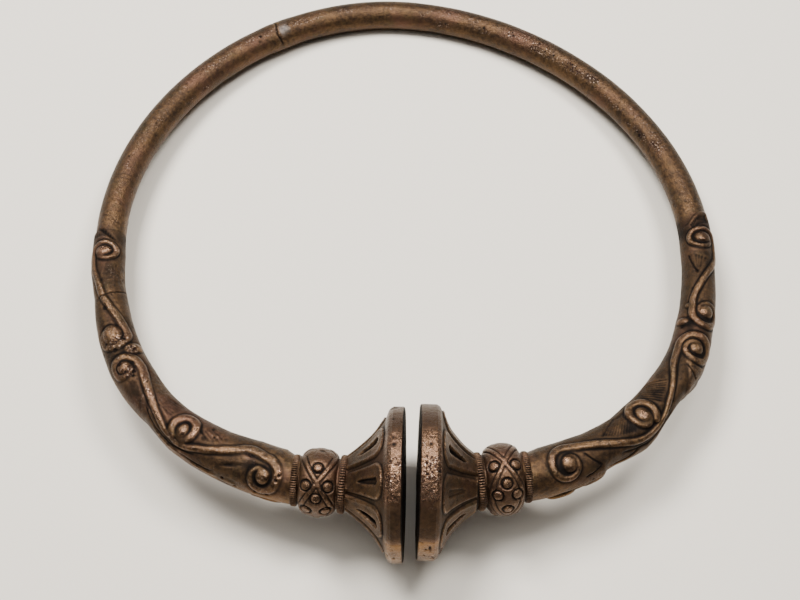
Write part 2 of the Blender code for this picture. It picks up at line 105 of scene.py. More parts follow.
def wrapped(turns: np.ndarray) -> np.ndarray:
    """Bring angles in degrees between -180 and 180."""
    return (turns + 180.0) % 360.0 - 180.0


def unit(vectors: np.ndarray) -> np.ndarray:
    """Scale each vector to length 1."""
    return vectors / np.linalg.norm(vectors, axis=-1, keepdims=True)


def scramble(cells: np.ndarray, seed: int) -> np.ndarray:
    """Give each whole-numbered cell a fixed value from 0 to 1 that looks random.

    Args:
        cells: Whole numbers, shaped (..., 3).
        seed: Picks one of many patterns.

    Returns:
        Values shaped (...), from products of the cell's numbers with large odd numbers, folded
        back into 32 bits.
    """
    mask, top = 0xFFFFFFFF, 0xFFFFF
    mixed = cells[..., 0] * 374761393 + cells[..., 1] * 668265263 + cells[..., 2] * 974634777
    mixed = (mixed + seed * 362437) & mask
    for shift, factor in ((13, 1274126177), (15, 461845907)):
        mixed = ((mixed ^ (mixed >> shift)) * factor) & mask
    return ((mixed ^ (mixed >> 16)) & top) / float(top)


def cloud(points: np.ndarray, cell: float, seed: int, layers: int = 2) -> np.ndarray:
    """Soft random hills: values on a cubic lattice joined by easing in three directions.

    Args:
        points: Places in millimetres, shaped (..., 3).
        cell: Side of the lattice of the broadest layer.
        seed: Picks the pattern.
        layers: Number of layers, each with half the cell and half the height of the one before.

    Returns:
        Values of about -1 to 1.
    """
    total, weight = np.zeros(points.shape[:-1]), 0.0
    for layer in range(layers):
        scaled = points / (cell / 2**layer)
        base = np.floor(scaled).astype(np.int64)
        part = ease(scaled - base)
        value = np.zeros(points.shape[:-1])
        for corner in np.ndindex(2, 2, 2):
            share = np.prod(np.where(np.array(corner) == 1, part, 1 - part), axis=-1)
            value += share * scramble(base + np.array(corner), seed + 31 * layer)
        total += (value * 2 - 1) * 0.5**layer
        weight += 0.5**layer
    return total / weight


def cast_skin(points: np.ndarray) -> np.ndarray:
    """Heights of the uneven skin that casting has left, a broad and a fine cloud."""
    return 0.05 * cloud(points, 6.0, Seed.BROAD_CAST) + 0.02 * cloud(points, 1.3, Seed.FINE_CAST)


def pocks(points: np.ndarray, cell: float, largest: float, filled: float, seed: int) -> np.ndarray:
    """Round pits scattered through space: each lattice cell may hold one ball, and a place inside
    it is as deep as its nearness to the ball's middle, 1 minus (distance / radius) squared.

    Args:
        points: Places in millimetres, shaped (..., 3).
        cell: Side of the lattice.
        largest: Greatest radius of a pit, at most half the cell.
        filled: Share of the cells that hold a pit.
        seed: Picks the pattern.

    Returns:
        Depths from 0 to 1.
    """
    base = np.floor(points / cell).astype(np.int64)
    deepest = np.zeros(points.shape[:-1])
    for step in np.ndindex(3, 3, 3):
        corner = base + np.array(step) - 1
        middle = np.stack([scramble(corner, seed + k) for k in range(3)], axis=-1)
        middle = (corner + 0.15 + 0.7 * middle) * cell
        chance = scramble(corner, seed + 7)
        radius = largest * (0.35 + 0.65 * scramble(corner, seed + 9) ** 2)
        near = 1 - np.sum(np.square(points - middle), axis=-1) / np.square(radius)
        deepest = np.maximum(deepest, np.where(chance < filled, near, 0.0))
    return np.clip(deepest, 0.0, 1.0)


def soften(height: np.ndarray, passes: int, closed: bool = True) -> np.ndarray:
    """Blur a grid by repeated averaging of each value, weight 2, with its neighbours, weight 1.

    Args:
        height: Grid of rows and columns.
        passes: Number of times; the blur spreads as the root of half of it, in cells.
        closed: Whether the last column joins the first.

    Returns:
        The blurred grid.
    """
    out = height.copy()
    for _ in range(passes):
        padded = np.concatenate([out[:1], out, out[-1:]])
        out = (padded[:-2] + 2 * padded[1:-1] + padded[2:]) / 4
        if closed:
            out = (np.roll(out, 1, axis=1) + 2 * out + np.roll(out, -1, axis=1)) / 4
    return out


def smooth_line(points: Line | np.ndarray, pieces: int = 8) -> np.ndarray:
    """A smooth curve through points: between two of them, the cubic whose slopes at its ends are
    half the step from the point before to the point after.

    Args:
        points: The points, in order.
        pieces: Number of short steps between two points.

    Returns:
        Points along the curve, shaped (count, 2).
    """
    way = np.array(points, float)
    way = np.concatenate([2 * way[:1] - way[1:2], way, 2 * way[-1:] - way[-2:-1]])
    t = np.linspace(0.0, 1.0, pieces, endpoint=False)[None, :, None]
    first, second, third, fourth = way[:-3, None], way[1:-2, None], way[2:-1, None], way[3:, None]
    slope_in, slope_out = (third - first) / 2, (fourth - second) / 2
    start = second * (2 * t**3 - 3 * t**2 + 1) + slope_in * (t**3 - 2 * t**2 + t)
    end = third * (3 * t**2 - 2 * t**3) + slope_out * (t**3 - t**2)
    return np.concatenate([(start + end).reshape(-1, 2), way[-2:-1]])


# Meshes


def placed(name: str, data: bpy.types.ID) -> bpy.types.Object:
    """Make an object of a mesh, a light or a camera, and link it to the scene."""
    made = bpy.data.objects.new(name, data)
    bpy.context.scene.collection.objects.link(made)
    return made


def volumes(corners: np.ndarray, first: np.ndarray, second: np.ndarray, third: np.ndarray) -> float:
    """Six times the space between the origin and some triangles: the sum of their triple products."""
    return np.einsum("ij,ij->i", corners[first], np.cross(corners[second], corners[third])).sum()


@dataclass
class Skin:
    """A tube of points, closed round its columns and capped at both ends.

    Attributes:
        name: The piece's name.
        points: Places in millimetres, shaped (rows, columns, 3).
        tones: Values for the finish, by attribute name, each shaped (rows, columns).
    """

    name: str
    points: np.ndarray
    tones: dict[str, np.ndarray]

    def faces(self, rows: int, columns: int) -> tuple[np.ndarray, np.ndarray]:
        """Corners of the quads between neighbouring rows, and of the fans that close both ends.

        Args:
            rows: Number of rows of points.
            columns: Number of columns of points.

        Returns:
            The quads, shaped (count, 4), and the triangles, shaped (count, 3).
        """
        grid = np.arange(rows * columns).reshape(rows, columns)
        after = np.roll(grid, -1, axis=1)
        quads = np.stack([grid[:-1], after[:-1], after[1:], grid[1:]], axis=-1).reshape(-1, 4)
        first, last = rows * columns, rows * columns + 1
        start = np.stack([after[0], grid[0], np.full(columns, first)], axis=-1)
        end = np.stack([grid[-1], after[-1], np.full(columns, last)], axis=-1)
        return quads, np.concatenate([start, end])

    def build(self) -> bpy.types.Object:
        """Make the mesh, with its faces outward, and link its object at the origin."""
        rows, columns = self.points.shape[:2]
        quads, fans = self.faces(rows, columns)
        flat = self.points.reshape(-1, 3)
        caps = np.stack([self.points[0].mean(axis=0), self.points[-1].mean(axis=0)])
        corners = np.concatenate([flat, caps])
        a, b, c, d = quads.T
        if volumes(corners, a, b, c) + volumes(corners, a, c, d) + volumes(corners, *fans.T) < 0:
            quads, fans = quads[:, ::-1], fans[:, ::-1]
        mesh = bpy.data.meshes.new(self.name)
        mesh.vertices.add(len(corners))
        mesh.vertices.foreach_set("co", (corners * MM).astype(np.float32).ravel())
        loops = np.concatenate([quads.ravel(), fans.ravel()]).astype(np.int32)
        starts = np.concatenate([np.arange(len(quads)) * 4, len(quads) * 4 + np.arange(len(fans)) * 3])
        mesh.loops.add(len(loops))
        mesh.loops.foreach_set("vertex_index", loops)
        mesh.polygons.add(len(starts))
        mesh.polygons.foreach_set("loop_start", starts.astype(np.int32))
        mesh.update(calc_edges=True)
        mesh.validate()
        for name, tone in self.tones.items():
            layer = mesh.attributes.new(name, "FLOAT", "POINT")
            ends = [tone[0].mean(), tone[-1].mean()]
            layer.data.foreach_set("value", np.concatenate([tone.ravel(), ends]).astype(np.float32))
        mesh.shade_smooth()
        mesh.set_sharp_from_angle(angle=SHARP)
        return placed(self.name, mesh)


def settle(piece: bpy.types.Object) -> None:
    """Tell the frame that a piece stands for the cast torc and moves with it."""
    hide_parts(NODE)
    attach(piece, BODY)
    LOG.info("%s: %d faces", piece.name, len(piece.data.polygons))


# The line of the hoop


class Hand(Enum):
    """Which end of the torc: the buffer that stands to the right, or the one to the left."""

    RIGHT = 1
    LEFT = -1


@dataclass
class Hoop:
    """The line of the rod: four quarters of a superellipse, leaning on the buffers and the back."""

    reach_left: float = 63.5
    reach_right: float = 71.5
    reach_front: float = 62.5
    reach_back: float = 66.9
    squareness: tuple[float, float, float, float] = (2.42, 2.63, 1.93, 1.89)
    gap: float = 2.8
    gap_offset: float = 6.8
    diameter: float = 6.9
    buffer_diameter: float = 32.9
    rest_flat: float = 0.12
    terminal_length: float = 23.9
    ease_length: float = 20.0
    outline_count: int = 7200
    outline: np.ndarray = field(init=False)
    marks: np.ndarray = field(init=False)
    gap_mark: float = field(init=False)
    lean: float = field(init=False)
    middle: np.ndarray = field(init=False)

    def __post_init__(self) -> None:
        """Work out the outline: x is reach times a power of the bearing's sine, y of its cosine."""
        bearing = np.linspace(-math.pi, math.pi, self.outline_count)
        across, along = np.sin(bearing), np.cos(bearing)
        front, right = along > 0, across > 0
        front_left, front_right, back_left, back_right = self.squareness
        front_square = np.where(right, front_right, front_left)
        power = 2 / np.where(front, front_square, np.where(right, back_right, back_left))
        x = np.where(right, self.reach_right, self.reach_left) * np.sign(across) * np.abs(across) ** power
        y = -np.where(front, self.reach_front, self.reach_back) * np.sign(along) * np.abs(along) ** power
        self.outline = np.stack([x, y], axis=-1)
        self.marks = np.concatenate([[0.0], np.cumsum(np.hypot(np.diff(x), np.diff(y)))])
        self.gap_mark = float(self.marks[np.flatnonzero((y < 0) & (x >= self.gap_offset))[0]])
        radius, half = self.diameter / 2, self.buffer_diameter / 2
        self.lean = math.asin((half - radius) / (self.reach_front + self.reach_back))
        front_extent = self.reach_front * math.cos(self.lean) + half
        back_extent = (self.reach_back + radius) * math.cos(self.lean)
        self.middle = np.array([
            (self.reach_left - self.reach_right) / 2,
            (front_extent - back_extent) / 2,
            radius - self.rest_flat + self.reach_back * math.sin(self.lean),
        ])

    @property
    def length(self) -> float:
        """Length of the axis once round."""
        return float(self.marks[-1])

    def on_outline(self, hand: Hand, run: np.ndarray) -> np.ndarray:
        """Places of the axis at some runs from one end, in the hoop's own plane, by the outline alone."""
        mark = (self.gap_mark + hand.value * (self.gap / 2 + run)) % self.length
        x, y = (np.interp(mark, self.marks, self.outline[:, k]) for k in (0, 1))
        return np.stack([x, y, np.zeros_like(x)], axis=-1)

    def axis(self, hand: Hand, run: np.ndarray, insets: tuple[float, float]) -> tuple[np.ndarray, np.ndarray]:
        """The rod's axis in the hoop's plane and the direction away from the hoop's middle.

        Args:
            hand: The end that the run is counted from.
            run: Distances along the hoop.
            insets: How far the axis lies inside the outline at the face and at the knob's far end.

        Returns:
            Places and outward directions, each shaped (count, 3).
        """
        ahead = unit(self.on_outline(hand, run + 0.3) - self.on_outline(hand, run - 0.3))
        outward = np.stack([ahead[:, 1], -ahead[:, 0], np.zeros(len(run))], axis=-1) * hand.value
        face, knob = insets
        straight = face + (knob - face) * run / self.terminal_length
        eased = knob * (1 - ease((run - self.terminal_length) / self.ease_length))
        inset = np.where(run < self.terminal_length, straight, eased)
        return self.on_outline(hand, run) - outward * inset[:, None], outward

    def turned(self, vectors: np.ndarray) -> np.ndarray:
        """Lean vectors of the hoop's plane: a turn about X that raises the front."""
        c, s = math.cos(self.lean), -math.sin(self.lean)
        x, y, z = vectors[..., 0], vectors[..., 1], vectors[..., 2]
        return np.stack([x, c * y - s * z, s * y + c * z], axis=-1)

    def to_table(self, points: np.ndarray) -> np.ndarray:
        """From the hoop's plane to the table's frame."""
        return self.middle + self.turned(points)


def on_table(points: np.ndarray) -> np.ndarray:
    """Hold every point on or over the table, which leaves the small rest flats."""
    held = points.copy()
    held[..., 2] = np.maximum(held[..., 2], 0.0)
    return held


# Carving on the rod


@dataclass
class Canvas:
    """The rod's skin unrolled: rows along the run, columns round the turn.

    Attributes:
        runs: Run of each row.
        turns: Turn of each column, in degrees, over one whole circle.
        radius: Radius of the uncarved rod at each row.
        strand_reach: How far beside a strand's middle the ground is changed.
        lift: Height of the carving over the skin.
        wobble: What is added to every distance from a line, so that worn lines are uneven.
    """

    runs: np.ndarray
    turns: np.ndarray
    radius: np.ndarray
    strand_reach: float = 2.6
    lift: np.ndarray = field(init=False)
    wobble: np.ndarray = field(init=False)

    def __post_init__(self) -> None:
        """Start with a level skin and true lines."""
        self.lift = np.zeros((len(self.runs), len(self.turns)))
        self.wobble = np.zeros_like(self.lift)

    def rows_near(self, low: float, high: float) -> slice:
        """The rows from one run to another."""
        return slice(*np.searchsorted(self.runs, (low, high)))

    def offset(self, rows: slice, turn: float) -> np.ndarray:
        """Distance round the skin from a turn: the shorter way round, as an angle times the radius."""
        return np.radians(wrapped(self.turns[None, :] - turn)) * self.radius[rows, None]

    def trace(self, line: np.ndarray, reach: float) -> tuple[np.ndarray, np.ndarray]:
        """How near each place is to a line, and to which part of it.

        The distance to a short piece of line is that to its nearest point, found by the place's
        projection on the piece, and the least over all pieces is kept.

        Args:
            line: Points (run, turn), shaped (count, 2).
            reach: Distance beyond which nothing is needed.

        Returns:
            Distances, at most reach, and shares from 0 at the line's start to 1 at its end.
        """
        distance = np.full(self.lift.shape, reach)
        share = np.zeros(self.lift.shape)
        middle_radius = np.interp((line[1:, 0] + line[:-1, 0]) / 2, self.runs, self.radius)
        steps = np.hypot(np.diff(line[:, 0]), np.radians(np.diff(line[:, 1])) * middle_radius)
        marks = np.concatenate([[0.0], np.cumsum(steps)]) / max(steps.sum(), 1e-9)
        for index, (start, end) in enumerate(zip(line[:-1], line[1:])):
            low, high = sorted((start[0], end[0]))
            rows = self.rows_near(low - reach, high + reach)
            if rows.start >= rows.stop:
                continue
            along = end[0] - start[0]
            around = math.radians(end[1] - start[1]) * self.radius[rows, None]
            u, v = self.runs[rows, None] - start[0], self.offset(rows, start[1])
            part = np.clip((u * along + v * around) / (along**2 + around**2 + 1e-9), 0.0, 1.0)
            near = np.hypot(u - part * along, v - part * around)
            closer = near < distance[rows]
            distance[rows] = np.where(closer, near, distance[rows])
            passed = marks[index] + part * (marks[index + 1] - marks[index])
            share[rows] = np.where(closer, passed, share[rows])
        return np.maximum(distance + self.wobble, 0.0), share

    def inside(self, border: Line, fade: float) -> np.ndarray:
        """How far each place lies inside a closed border: 0 on and outside it, 1 beyond the fade.

        A place is inside where a line from it towards a growing turn crosses the border an odd
        number of times.

        Args:
            border: Corners (run, turn) of the closed border.
            fade: Distance from the border over which the value rises.

        Returns:
            Values from 0 to 1.
        """
        corners = np.array(border + border[:1], float)
        turns = (self.turns + 90.0) % 360.0 - 90.0
        odd = np.zeros(self.lift.shape, bool)
        for (run_a, turn_a), (run_b, turn_b) in zip(corners[:-1], corners[1:]):
            spans = (self.runs > run_a) != (self.runs > run_b)
            cut = turn_a + (self.runs - run_a) * (turn_b - turn_a) / (run_b - run_a + 1e-9)
            odd ^= spans[:, None] & (turns[None, :] < cut[:, None])
        distance, _ = self.trace(corners, fade)
        return np.where(odd, ease(distance / fade), 0.0)

    def raise_to(self, height: np.ndarray) -> None:
        """Lift the skin to a height wherever the height is the greater."""
        self.lift = np.maximum(self.lift, height)

    def groove(self, line: np.ndarray, width: float, depth: float) -> None:
        """Cut a groove with a round floor, whose depth fades over the line's two ends."""
        distance, share = self.trace(line, width * 2.5)
        ends = ease(share * 6 + 0.25) * ease((1 - share) * 6 + 0.25)
        self.lift -= depth * ends * hump(distance, width / 2)

    def ridge(self, line: np.ndarray, width: float, height: float) -> None:
        """Raise a thin rib with a round back, lower at its two ends, by its half width and its height."""
        distance, share = self.trace(line, width * 2)
        ends = ease(share * 5 + 0.3) * ease((1 - share) * 5 + 0.3)
        self.lift += height * ends * np.clip(1 - np.square(distance / width), 0.0, 1.0)

    def strand(self, line: np.ndarray, half_width: np.ndarray, proud: np.ndarray, moat: float) -> None:
        """Raise a rounded strand over lowered ground: an arch as wide as the strand, whose feet
        stand in a moat that fades as a bell curve.

        Args:
            line: Points (run, turn) along the strand's middle.
            half_width: Half widths at equal shares of the line.
            proud: Heights at equal shares of the line.
            moat: Depth of the ground beside it.
        """
        distance, share = self.trace(line, self.strand_reach)
        half = np.interp(share, np.linspace(0.0, 1.0, len(half_width)), half_width)
        top = np.interp(share, np.linspace(0.0, 1.0, len(proud)), proud)
        self.lift -= moat * hump(np.maximum(distance - half, 0.0), 0.36)
        arch = top - (top + moat) * np.power(np.minimum(distance / half, 1.6), 4.0)
        self.raise_to(arch)

    def dome(self, run: float, turn: float, half_run: float, half_turn: float, height: float) -> None:
        """Raise a rounded dome in a shallow moat.

        Args:
            run: Run of its middle.
            turn: Turn of its middle.
            half_run: Half width along the run.
            half_turn: Half width round the rod, in millimetres.
            height: Height over the skin.
        """
        moat = 0.1
        rows = self.rows_near(run - half_run - 2.0, run + half_run + 2.0)
        away = np.hypot((self.runs[rows, None] - run) / half_run, self.offset(rows, turn) / half_turn)
        low = self.lift[rows] - moat * hump(np.maximum(away - 1.0, 0.0) * min(half_run, half_turn), 0.4)
        arch = (height + moat) * np.sqrt(np.clip(1.02 - np.power(away, 2.6), 0.0, 1.0)) - moat
        self.lift[rows] = np.maximum(low, np.where(away < 1.02, arch, -HIGH))

    def patches(self, places: Places, bare: np.ndarray, least: Grid = 0.0) -> np.ndarray:
        """Raise a value round some places, as a bell curve with an uneven edge, and keep the greatest.

        Args:
            places: (run, turn, reach along, reach round, strength) of each.
            bare: Places of the uncarved skin, for the uneven edge.
            least: The value away from all of them.

        Returns:
            Values, shaped (rows, columns).
        """
        found = least + np.zeros(self.lift.shape)
        uneven = 1 + 0.5 * cloud(bare, 1.6, Seed.PATCH)
        for run, turn, along, round_by, strength in places:
            away = np.hypot(self.runs[:, None] - run, self.offset(slice(None), turn) * along / round_by)
            found = np.maximum(found, strength * hump(away, along) * uneven)
        return found

    def hole(self, run: float, turn: float, radius: float, depth: float) -> None:
        """Sink a pit with soft edges."""
        rows = self.rows_near(run - 3 * radius, run + 3 * radius)
        away = np.hypot(self.runs[rows, None] - run, self.offset(rows, turn))
        self.lift[rows] -= depth * hump(away, radius)


def dots(canvas: Canvas, spacing: float, radius: float, seed: int) -> np.ndarray:
    """Punched dots over a canvas: each cell of a slightly shaken square lattice holds one.

    Args:
        canvas: The canvas.
        spacing: Side of the lattice, in millimetres.
        radius: Radius of a dot.
        seed: Picks the pattern.

    Returns:
        Depths from 0 to 1.
    """
    u = np.broadcast_to(canvas.runs[:, None], canvas.lift.shape)
    v = np.radians(canvas.turns)[None, :] * canvas.radius[:, None]
    places = np.stack([u, v, np.zeros_like(u)], axis=-1)
    base = np.floor(places / spacing).astype(np.int64)
    nearest = np.full(u.shape, HIGH)
    for step in np.ndindex(3, 3):
        corner = base + np.array([step[0] - 1, step[1] - 1, 0])
        shake = np.stack([scramble(corner, seed), scramble(corner, seed + 3), np.zeros_like(u)], axis=-1)
        middle = (corner + 0.2 + 0.6 * shake) * spacing
        away = np.hypot(places[..., 0] - middle[..., 0], places[..., 1] - middle[..., 1])
        nearest = np.minimum(nearest, away)
    return hump(nearest, radius)


@dataclass
class Rod:
    """A stretch of the rod: its skin unrolled on a canvas, and for each row the place of its axis in
    the hoop's plane and the direction away from the hoop's middle."""

    hoop: Hoop
    canvas: Canvas
    centre: np.ndarray
    outward: np.ndarray

    def skin(self, *heights: Grid) -> np.ndarray:
        """Places over the uncarved skin: outward times the turn's cosine and up times its sine, as
        far from the axis as the rod's radius and the heights together.

        Args:
            heights: Heights, which are added one after another.

        Returns:
            Places in the table's frame, shaped (rows, columns, 3).
        """
        angle = np.radians(self.canvas.turns)
        around = self.outward[:, None] * np.cos(angle)[None, :, None]
        around = around + UP * np.sin(angle)[None, :, None]
        reach = self.canvas.radius[:, None]
        for height in heights:
            reach = reach + height
        return self.hoop.to_table(self.centre[:, None] + around * reach[..., None])


@dataclass(frozen=True)
class Coil:
    """One scroll: its middle, the reach of its strand, its bulb, and how it winds inwards.

    Attributes:
        run: Run of the middle.
        turn: Turn of the middle.
        reach: Distance of the outer winding from the middle.
        bulb: Half widths of the bulb along the run and round the turn.
        begins: Angle at which the outer end lies, in degrees from the run towards a growing turn.
        windings: Number of windings inward, negative where they go the other way.
        shift: Place of the bulb's middle from the coil's, along the run and in degrees of turn.
        height: Height of the bulb.
        slack: How long the winding stays wide before it closes on the bulb.
        wide: Reach round the turn over the reach along the run.
    """

    run: float
    turn: float
    reach: float
    bulb: tuple[float, float]
    begins: float
    windings: float
    shift: tuple[float, float] = (0.0, 0.0)
    height: float = 0.85
    slack: float = 1.6
    wide: float = 1.1

    def winding(self, radius: float) -> np.ndarray:
        """Wind from the outer end to the inner: the reach shrinks from the outer reach to the bulb
        by a power of the share, while the angle grows evenly.

        Args:
            radius: Radius of the rod at the coil.

        Returns:
            Points (run, turn), shaped (count, 2).
        """
        share = np.linspace(0.0, 1.0, int(abs(self.windings) * 44) + 8)
        angle = math.radians(self.begins) + self.windings * math.tau * share
        inner = 0.62 * min(self.bulb)
        outer = self.reach - 0.24
        reach = outer + (inner - outer) * share**self.slack
        drift = share**2
        run = self.run + reach * np.cos(angle) + self.shift[0] * drift
        turn = self.turn + np.degrees(reach * self.wide * np.sin(angle) / radius) + self.shift[1] * drift
        return np.stack([run, turn], axis=-1)

    def ring(self) -> Row:
        """The ground that the coil's strand encloses, as a patch of painted shade."""
        reach = 0.9 * self.reach
        return self.run, self.turn, reach, reach * self.wide, 0.75


@dataclass(frozen=True)
class Cut:
    """A groove or a rib along a line, by its width and its depth or height."""

    line: Line
    width: float
    depth: float


@dataclass(frozen=True)
class Hatch:
    """Side by side grooves, each from one edge to the other."""

    first: Line
    second: Line
    count: int
    width: float = 0.32
    depth: float = 0.19

    def lines(self) -> list[np.ndarray]:
        """Divide both edges in equal shares and join them.

        Returns:
            The grooves' lines, as points (run, turn).
        """
        shares = (np.arange(self.count) + 0.5) / self.count
        edges = []
        for edge in (self.first, self.second):
            corners = np.array(edge, float)
            stations = np.linspace(0.0, 1.0, len(corners))
            edges.append(np.stack([np.interp(shares, stations, corners[:, k]) for k in (0, 1)], axis=-1))
        return [np.linspace(start, end, 5) for start, end in zip(*edges)]


@dataclass(frozen=True)
class Ground:
    """A field of the background: its border, how deep it is sunk and how strongly it is stippled,
    with the dots' spacing and radius and the width over which its edge fades."""

    border: Line
    sunk: float
    stipple: float
    spacing: float = 0.75
    dot: float = 0.24
    fade: float = 0.5


@dataclass(frozen=True)
class Carving:
    """All that one arm carries besides its scrolls."""

    grounds: tuple[Ground, ...]
    hatches: tuple[Hatch, ...]
    ribs: tuple[Cut, ...]
    grooves: tuple[Cut, ...]
    nubs: Places
    holes: tuple[tuple[float, float, float, float], ...]


@dataclass
class Arm:
    """One carved arm, from inside its outer collar to the plain hoop.

    Attributes:
        step_run: Run at which the rod has its plain size again.
        step_edge: (turn, run) corners of the small step's line.
        coils: Its five coils, from the hoop to the collar.
        level: (turn, spread) of the inner side, where the step is gentle.
        slim: Half widths along the short strand, as shares of strand_half.
        thick: The same along the long strand.
        short: The same along the side coil's strand.
        tops: Heights along a strand, as shares of strand_proud.
        above_only: Number of the coil that the lower face lacks.
        darkening: How much darker the ground is made, and how much it varies.
        darkening_along: (run, share) of that darkening along the arm, up to the step.
        outer: (run, height) of the outer side beyond a round rod, and inner of the inner side.
        outer_side: (turn, spread) of the outer side, and inner_side of the inner one.
    """

    hoop: Hoop
    hand: Hand
    insets: Pair
    step_run: float
    step_edge: Line
    coils: tuple[Coil, ...]
    short_stem: Line
    long_stem: Line
    carving: Carving
    start: float = 22.0
    beyond: float = 6.0
    stout: float = 10.2
    step: float = 0.3
    step_crisp: float = 0.55
    step_gentle: float = 26.0
    level: Pair = (190.0, 75.0)
    row_count: int = 528
    top_columns: int = 138
    low_columns: int = 46
    strand_half: float = 0.92
    strand_proud: float = 0.7
    slim: Row = (0.66, 0.72, 0.82, 0.88, 0.9, 0.88, 0.95, 1.05, 1.1, 1.0, 0.8)
    thick: Row = (0.8, 1.0, 1.2, 1.1, 0.76, 0.76, 0.96, 1.15, 1.2, 0.85, 0.6)
    short: Row = (1.1, 1.22, 1.2, 1.05, 0.8)
    tops: Row = (0.8, 0.9, 0.95, 1.0, 1.0, 1.0, 1.0, 1.0, 0.95, 0.9, 0.8)
    moat: float = 0.12
    above_only: int = 3
    worn: float = 0.07
    rubbed: int = 1
    darkening: Pair = (0.6, 0.35)
    darkening_along: Line = (
        (24, 0.2), (30, 0.3), (36, 0.75), (60, 0.8), (84, 0.7), (92, 0.8), (98, 0.85), (101, 0.6), (104, 1.3),
        (107, 1.3),
    )
    pitted: float = 0.25
    rub: float = 0.52
    eaten: Places = ()
    # Places where the highlights fall, which get polish and a painted sheen.
    bright: Places = ()
    # Places of painted shade on the low ground.
    shade: Places = ()
    outer: Line = ((24.0, 0.0),)
    inner: Line = ((24.0, 0.0),)
    outer_side: Pair = (-8.0, 46.0)
    inner_side: Pair = (170.0, 50.0)

    @property
    def name(self) -> str:
        """The piece's name."""
        return f"{self.hand.name.lower()}_arm"

    @property
    def end(self) -> float:
        """Run at which the piece meets the plain hoop's."""
        return self.step_run + self.beyond

    def canvas(self) -> Canvas:
        """The unrolled skin, with more columns on the upper side than below."""
        runs = np.linspace(self.start, self.end, self.row_count)
        top = np.linspace(-25.0, 205.0, self.top_columns, endpoint=False)
        low = np.linspace(205.0, 335.0, self.low_columns, endpoint=False)
        return Canvas(runs, np.concatenate([top, low]), self.swelling(runs))

    def swelling(self, runs: np.ndarray) -> np.ndarray:
        """Radius without the step: the plain radius and half a cosine over the arm's length."""
        first = self.hoop.terminal_length
        share = np.clip((runs - first) / (self.step_run - first), 0.0, 1.0)
        plain = self.hoop.diameter / 2
        return plain + (self.stout / 2 - plain - self.step) * 0.5 * (1 + np.cos(math.pi * share))

    def step_height(self, canvas: Canvas) -> np.ndarray:
        """The arm's extra height up to its lobed edge, which fades away on the inner side.

        Args:
            canvas: The canvas, for its runs and turns.

        Returns:
            Heights, shaped (rows, columns).
        """
        turns = wrapped(canvas.turns)
        corners = np.array(self.step_edge, float)
        edge = np.interp(np.where(turns < -90.0, turns + 360.0, turns), corners[:, 0], corners[:, 1])
        crisp = ease((edge[None, :] - canvas.runs[:, None]) / self.step_crisp + 0.5)
        gentle = ease((self.step_run - canvas.runs[:, None]) / self.step_gentle)
        middle, spread = self.level
        inner = ease(1.3 - np.abs(wrapped(canvas.turns[None, :] - middle)) / spread)
        return self.step * (crisp * (1 - inner) + gentle * inner)

    def routes(self, canvas: Canvas, face: int) -> list[tuple[np.ndarray, np.ndarray, np.ndarray]]:
        """The strands of one face: line, half widths and heights, each strand from bulb to bulb.

        Args:
            canvas: The canvas, for the rod's radius.
            face: 1 for the upper face, -1 for the lower.

        Returns:
            The strands.
        """
        flip = np.array([1.0, float(face)])
        windings = [c.winding(float(np.interp(c.run, canvas.runs, canvas.radius))) for c in self.coils]
        first, second, third, side, last = windings
        upper = self.joined(first, self.short_stem, second)
        lower = self.joined(third, self.long_stem, last)
        half, tops = self.strand_half, self.strand_proud * np.array(self.tops)
        slim, thick, short = (half * np.array(row) for row in (self.slim, self.thick, self.short))
        found = [(upper * flip, slim, tops), (lower * flip, thick, tops)]
        if face > 0:
            found.append((side * flip, short, tops[6:]))
        return found

    def sides(self, canvas: Canvas) -> np.ndarray:
        """How far the rod's two sides stand out beyond a round rod: a height along the run for each
        side, times a bell curve round the turn.

        Args:
            canvas: The canvas, for its runs and turns.

        Returns:
            Heights, shaped (rows, columns).
        """
        found = np.zeros(canvas.lift.shape)
        for line, (turn, spread) in ((self.outer, self.outer_side), (self.inner, self.inner_side)):
            runs, heights = np.array(line).T
            along = np.interp(canvas.runs, runs, heights)[:, None]
            found += along * hump(wrapped(canvas.turns - turn), spread)[None, :]
        return found

    def joined(self, before: np.ndarray, stem: Line, after: np.ndarray) -> np.ndarray:
        """One line out of a coil from its inner end, along the stem, and into the next coil."""
        way = np.concatenate([before[:2][::-1], np.array(stem, float), after[:2]])
        pieces = 8
        curve = smooth_line(way, pieces)[pieces:-pieces]
        return np.concatenate([before[::-1][:-1], curve, after[1:]])

    def carve(self, canvas: Canvas, points: np.ndarray) -> None:
        """Cut the whole relief into the canvas, from the ground to the pits.

        Args:
            canvas: The canvas to carve.
            points: Places of the uncarved skin, for the uneven cast surface.
        """
        canvas.lift += self.step_height(canvas)
        canvas.lift += cast_skin(points)
        broad, fine = cloud(points, 2.2, Seed.BROAD_WOBBLE), cloud(points, 0.9, Seed.FINE_WOBBLE)
        canvas.wobble = self.worn * (0.6 * broad + 0.6 * fine)
        carving = self.carving
        for ground in carving.grounds:
            within = canvas.inside(ground.border, ground.fade)
            canvas.lift -= ground.sunk * within
            canvas.lift -= ground.stipple * within * dots(canvas, ground.spacing, ground.dot, Seed.STIPPLE)
        for hatch in carving.hatches:
            for line in hatch.lines():
                canvas.groove(line, hatch.width, hatch.depth)
        for rib in carving.ribs:
            canvas.ridge(smooth_line(rib.line), rib.width, rib.depth)
        for face in (-1, 1):
            for strand in self.routes(canvas, face):
                canvas.strand(*strand, self.moat)
            for index, coil in enumerate(self.coils):
                if face > 0 or index != self.above_only:
                    turn = face * (coil.turn + coil.shift[1])
                    canvas.dome(coil.run + coil.shift[0], turn, *coil.bulb, coil.height)
        for nub in carving.nubs:
            canvas.dome(*nub)
        canvas.lift = soften(canvas.lift, self.rubbed)
        for cut in carving.grooves:
            canvas.groove(smooth_line(cut.line), cut.width, cut.depth)
        for hole in carving.holes:
            canvas.hole(*hole)

